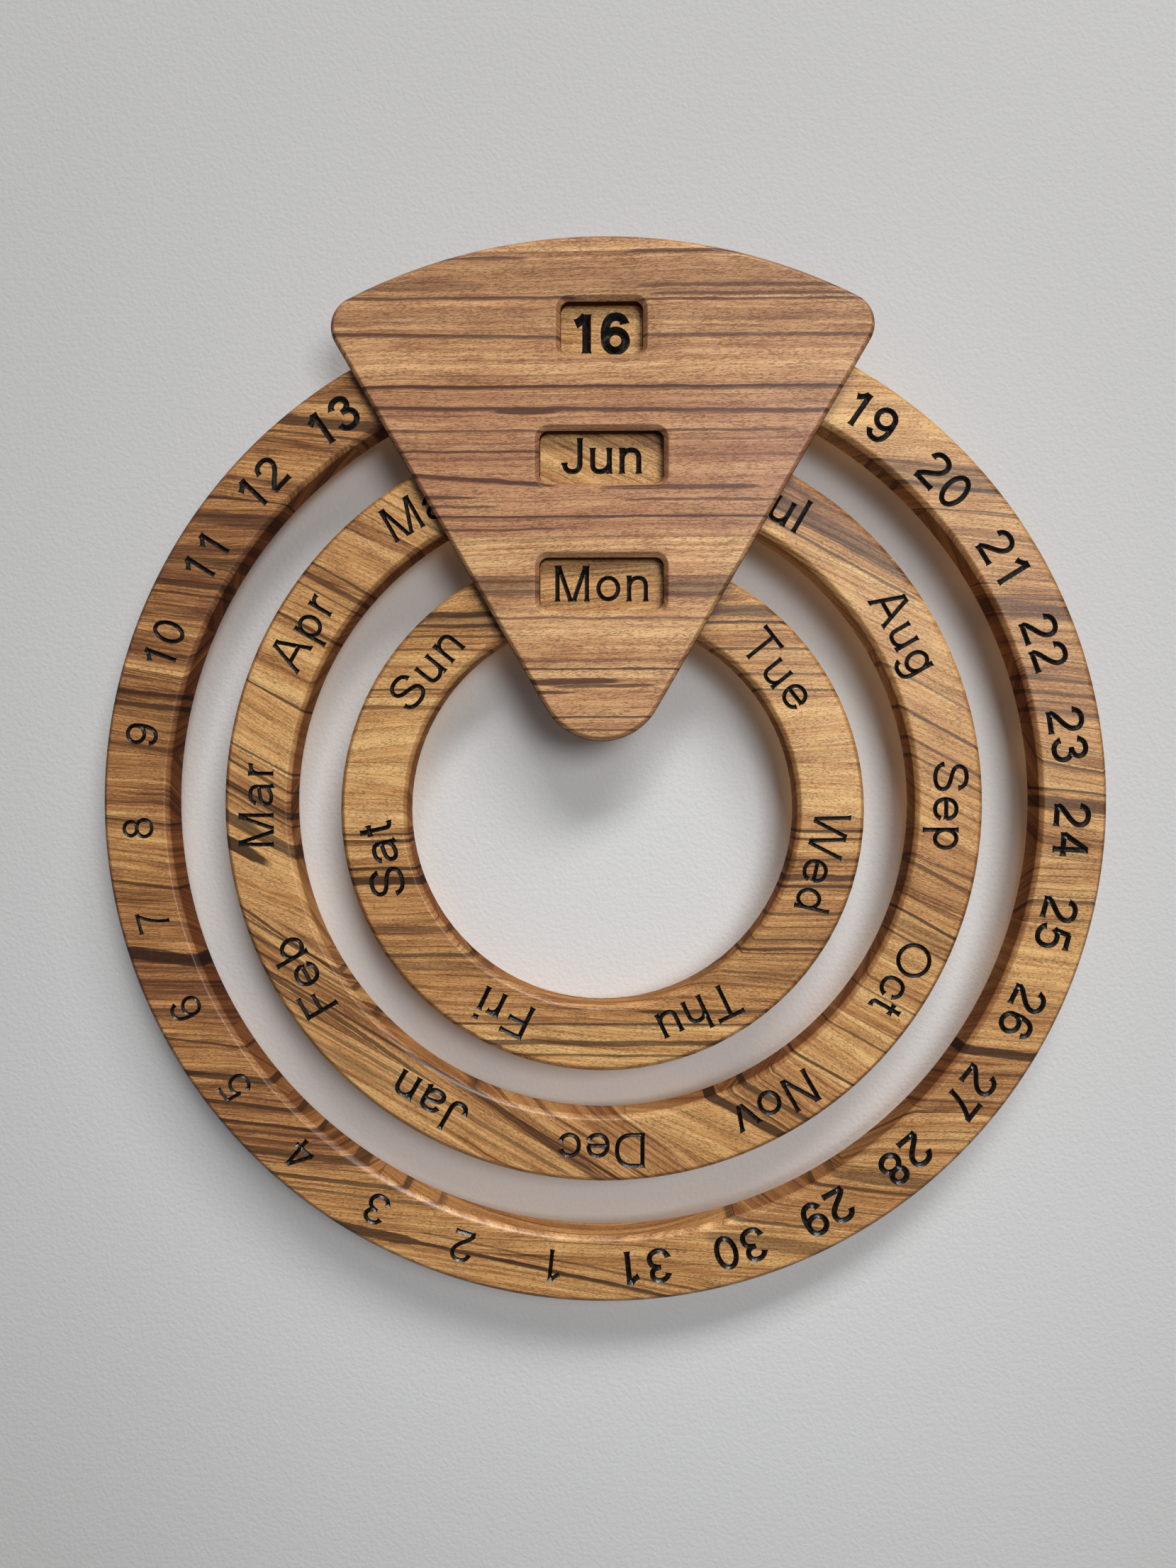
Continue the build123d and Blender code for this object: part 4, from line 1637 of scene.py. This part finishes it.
# Dark streaks: height, width, start, end, strength, and where they have their own, the fades above
# and below and the rise over 100 mm.
FACE_STREAKS = tuple(Streak(*row) for row in (
    (230, 12, -130, 130, 0.21, 4, 3), (207, 4, -130, 130, 0.14, 3, 3),
    (213.8, 4.5, -130, 130, 0.24, 1.5, 1.5), (242, 0.7, 22, 65, 0.8, 0.3, 1.2),
    (239, 0.8, -69, -42, 0.8, 0.3, 1.2), (227, 3.5, -105, -60, 0.45, 1.5, 1.5),
    (222, 0.7, -105, -20, 0.85, 0.3, 1.5), (227, 1.2, 25, 115, 0.75, 0.6, 1),
    (223.4, 1, 30, 115, 0.8, 0.4, 1), (221, 0.7, 25, 115, 0.8, 0.3, 1),
    (204.2, 0.9, -118, -22, 0.85, 0.3, 1.8, -2), (205.5, 0.9, 20, 118, 0.8, 0.3, 1.5),
    (183.3, 0.6, -110, 110, 0.95, 0.2, 2.2), (173.2, 1, -105, 100, 0.85, 0.4, 1.5, -0.9),
    (172.5, 2.6, -38, -28, 0.9, 0.8), (170.5, 0.4, -100, -60, 0.6, 0.3, 0.6),
    (164, 0.6, -95, -30, 0.75, 0.3, 1), (164, 0.6, 30, 75, 0.7, 0.3, 1), (155, 0.6, -92, -30, 0.8),
    (138.9, 1.2, -85, -30, 0.9, 0.4, 1.5, -7), (139.2, 1.6, 10, 60, 0.8, 0.5),
    (135, 1, -78, -65, 0.8, 0.4), (131, 0.8, -75, -55, 0.75), (133.7, 0.7, 20, 70, 0.75, 0.3, 0.9),
    (126.5, 0.5, -73, 70, 0.9, 0.2), (121, 0.5, -70, -30, 0.75),
    (95.5, 7.5, -62, -24, 0.5, 1.5, 1.5), (98, 0.9, -64, -30, 0.8, 0.4),
    (93.6, 1.3, -60, -28, 0.78, 0.6, 0.9), (96.4, 1.2, 30, 64, 0.78, 0.5, 0.9),
    (92.4, 0.9, 26, 60, 0.74, 0.5), (95.5, 7.5, 24, 62, 0.54, 1.5, 1.5),
    (100.2, 0.5, -60, 60, 0.6, 0.3, 0.6), (82, 0.5, -45, 50, 0.6),
    (59.7, 0.5, -40, 40, 0.9, 0.2, 0.7), (54.4, 2.2, -28, -2, 0.9, 0.7, 0.9, 1.5),
    (52.2, 0.9, -12, 14, 0.82, 0.4, 0.8, 1), (49.4, 0.9, -30, -22, 0.8, 0.4),
    (38.5, 0.5, -20, 20, 0.85, 0.3, 0.7), (33, 0.5, -12, 10, 0.75, 0.3, 0.7),
))
DATE_STREAKS = tuple(Streak(*row) for row in (
    (155.5, 3.6, -168, -120, 0.8, 1, 1), (150, 0.6, -172, -125, 0.7, 0.3, 1),
    (118, 0.6, -198, -155, 0.8, 0.3, 1), (108.5, 5, -202, -155, 0.62, 1, 1.5),
    (88, 4.2, -210, -160, 0.58, 1, 1), (77.5, 2.2, -212, -165, 0.65, 0.6),
    (73, 0.5, -214, -165, 0.7), (27, 1.6, -228, -185, 0.85, 0.3, 0.6),
    (21.5, 2, -228, -185, 0.85, 0.4), (-31, 0.6, -228, -185, 0.8), (-59, 0.7, -222, -180, 0.75),
    (-90.5, 4.6, -212, -165, 0.92, 0.5), (-127, 0.6, -190, -145, 0.75),
    (-141.5, 2.2, -182, -135, 0.8, 0.4), (-153, 1.2, -172, -118, 0.75, 0.3, 1),
    (-161, 0.9, -160, -105, 0.85, 0.3, 1), (-173, 3, -150, -85, 0.72, 0.6),
    (-182.5, 1.5, -135, -75, 0.75, 0.4), (-188, 1, -128, -60, 0.6, 0.4),
    (-211.4, 1.2, -90, 58, 0.88, 0.3, 1.2, -9.5), (-211.6, 4, -100, -68, 0.85, 0.6, 0.8, -9.5),
    (-206, 0.5, -50, 60, 0.6, 0.3, 0.8, -9), (161.5, 10, 108, 165, 0.36, 1.5, 1.5),
    (166, 1.2, 108, 160, 0.7, 0.5, 0.6), (162, 1.2, 110, 162, 0.65, 0.5, 0.6),
    (157.5, 1.4, 112, 165, 0.75, 0.4, 0.6), (107.5, 6, 155, 200, 0.52, 1.2, 1.2),
    (78, 1.4, 168, 215, 0.6, 0.5, 0.6), (72, 1.4, 170, 218, 0.62, 0.5, 0.6),
    (64, 1.4, 175, 220, 0.65, 0.5), (30, 0.6, 188, 228, 0.8), (24, 5, 188, 228, 0.74, 0.7),
    (-90, 3.6, 165, 215, 0.88, 0.5), (-152.5, 4.2, 130, 170, 0.56, 1, 1),
    (-158, 0.9, 72, 155, 0.7, 0.3, 1), (-178, 0.8, 58, 115, 0.72, 0.3, 1),
    (-187.5, 5, 78, 128, 0.5, 1.2, 1.2),
))
MONTH_STREAKS = tuple(Streak(*row) for row in (
    (72, 0.6, -155, -118, 0.55), (32, 0.6, -172, -132, 0.8), (27, 1.8, -172, -134, 0.72, 0.5),
    (22, 0.5, -172, -134, 0.7), (5.5, 0.8, -172, -134, 0.8, 0.3, 1), (-28, 0.5, -170, -130, 0.75),
    (-56, 0.5, -166, -122, 0.75), (-63, 0.6, -160, -120, 0.7),
    (-72.5, 1.6, -158, -112, 0.8, 0.4, 1), (-76.5, 0.6, -155, -110, 0.7),
    (-86, 4.2, -152, -102, 0.76, 0.6, 1.2), (-96, 4.8, -139, -128, 0.92, 1, 1),
    (-122.5, 0.8, -122, -55, 0.7, 0.4), (-127.5, 0.8, -118, -45, 0.65),
    (-133, 0.7, -112, -35, 0.6), (-141, 0.7, -100, 100, 0.82, 0.3, 0.8, -3),
    (-151, 1.2, -88, 60, 0.5, 0.4, 1, -2), (-157, 3.6, -82, -8, 0.38, 0.8),
    (-139, 2.2, 18, 98, 0.7, 0.5, 1, -11), (24.5, 0.8, 132, 174, 0.85), (14, 0.6, 134, 174, 0.7),
    (19, 6, 134, 174, 0.3, 1, 1), (-14, 0.5, 134, 174, 0.6), (-35, 0.6, 126, 168, 0.7),
    (-55, 0.9, 118, 164, 0.85, 0.3, 0.6), (-78.5, 2, 108, 155, 0.8, 0.4, 1),
    (-90.5, 3.6, 98, 148, 0.9, 0.4), (45, 1.3, 126, 168, 0.6, 0.5, 1), (87, 0.6, 105, 150, 0.65),
    (93, 0.8, 100, 145, 0.65), (103, 0.8, 88, 138, 0.75), (155, 5, -20, 78, 0.6, 1, 1),
    (147.5, 0.8, -20, 70, 0.7), (116, 0.6, 74, 128, 0.55),
))
DAY_STREAKS = tuple(Streak(*row) for row in (
    (87.5, 2, -92, -42, 0.88, 0.4), (82.5, 1.2, -94, -42, 0.85, 0.4),
    (85, 6.5, -92, -46, 0.36, 1, 1), (78, 0.6, -98, -46, 0.65), (72, 0.5, -102, -50, 0.6),
    (54, 0.6, -110, -80, 0.7), (46.5, 1.2, -112, -76, 0.6, 0.4, 1),
    (-10.5, 0.6, -120, -84, 0.75, 0.3, 0.6), (-13.5, 0.8, -120, -84, 0.8),
    (-26, 1, -120, -82, 0.85), (-31.5, 3, -120, -80, 0.9, 0.4),
    (-53.5, 2.2, -110, -64, 0.62, 0.5, 1), (-65, 1.2, -104, -54, 0.72, 0.3, 1),
    (-70, 3, -98, -40, 0.4, 1, 1), (-96, 0.8, -72, 72, 0.7), (-104.5, 1.8, -58, 58, 0.76, 0.4),
    (-110, 0.6, -45, 45, 0.7), (89, 4.2, 44, 92, 0.62, 0.8), (84, 0.8, 46, 94, 0.85),
    (72, 0.6, 52, 100, 0.65), (61, 0.6, 62, 106, 0.6), (54, 0.6, 66, 112, 0.7),
    (-9, 0.8, 84, 120, 0.85), (-12.5, 0.5, 84, 120, 0.7, 0.3, 0.6), (-22, 0.6, 82, 118, 0.7),
    (-30, 2.2, 80, 118, 0.8, 0.4), (-34, 0.9, 78, 116, 0.85), (-46, 0.8, 72, 112, 0.65),
    (-57.5, 3.8, 62, 106, 0.4, 0.8, 1), (-62, 0.9, 56, 102, 0.8), (-74, 6, 36, 96, 0.26, 1.5, 1.5),
    (-90, 1.2, 26, 82, 0.75, 0.4, 1),
))


def corners(low: Vector, high: Vector) -> list[list[float]]:
    """A box as plain lists."""
    return [list(low), list(high)]


def main() -> None:
    """Build the calendar's looks piece by piece."""
    logging.basicConfig(level=logging.INFO, format="%(name)s: %(message)s")
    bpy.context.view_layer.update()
    lettering = Lettering()
    paint = Enamel().material()

    centre = (0.0, 0.0, -0.21)
    ring_centre = (0.0, 0.0, -0.2106)  # the rings sit a little lower on their hangers
    day_centre = (0.0, 0.0, -0.213)
    B = Board
    date_boards = (
        B.GOLDEN, B.GOLDEN, B.SMOKY, B.LINED, B.UMBER, B.TAWNY, B.GOLDEN, B.LINED,
        B.TAWNY, B.LINED, B.SMOKY, B.SMOKY, B.TAWNY, B.LINED, B.HONEY, B.HONEY,
    )
    month_boards = (
        B.HONEY, B.LINED, B.HONEY, B.LINED, B.PALE, B.HONEY,
        B.GOLDEN, B.LINED, B.HONEY, B.HONEY, B.HONEY, B.SMOKY,
    )
    day_boards = (B.HONEY, B.TAWNY, B.LINED, B.GOLDEN, B.PALE, B.PALE, B.HONEY, B.GOLDEN)
    face_boards = (B.GOLDEN, B.HONEY, B.BLUSH, B.GOLDEN)
    rings = (
        Ring("date_ring", DATES, 15, 209.2, Hardwood(
            "date_ring_wood", ring_centre, 6.5, -0.5, 29.508, date_boards, 8, seed=3.0,
            paler_right=0.07, streaks=DATE_STREAKS,
        )),
        Ring("month_ring", MONTHS, 5, 155.4, Hardwood(
            "month_ring_wood", ring_centre, 29.0, 1.4, 29.565, month_boards, 6, seed=41.0,
            streaks=MONTH_STREAKS,
        )),
        Ring("day_ring", DAYS, 0, 101.2, Hardwood(
            "day_ring_wood", day_centre, 0.0, -8.0, 29.375, day_boards, 4, seed=77.0,
            streaks=DAY_STREAKS,
        )),
    )
    for ring in rings:
        ring.build(lettering, ring.finish.material(), paint)

    # The face plate's side colour is dark: painted shade on its window walls and its edges.
    FacePlate(Hardwood(
        "face_plate_wood", centre, 0.0, 55.5, 62.0, face_boards, 1, seed=110.0, contrast=2.6,
        wander=2.5, slant=0.02, light=(241, 195, 137), middle=(198, 143, 97), dark=(108, 65, 44),
        stain=(78, 46, 37), rosy=(176, 117, 93), side=(92, 65, 50), streaks=FACE_STREAKS,
    )).build()
    Frame(
        Hardwood(
            "back_plate_wood", centre, 0.0, 55.5, 62.0, face_boards, 1, seed=150.0, slant=0.03
        ),
        Hardwood(
            "hanger_wood", centre, 0.0, 15.0, 90.0, (B.TAWNY, B.GOLDEN, B.LINED), 1, seed=190.0
        ),
        ZincSteel(),
    ).build()
    Studio().build()


if __name__ == "__main__":
    main()
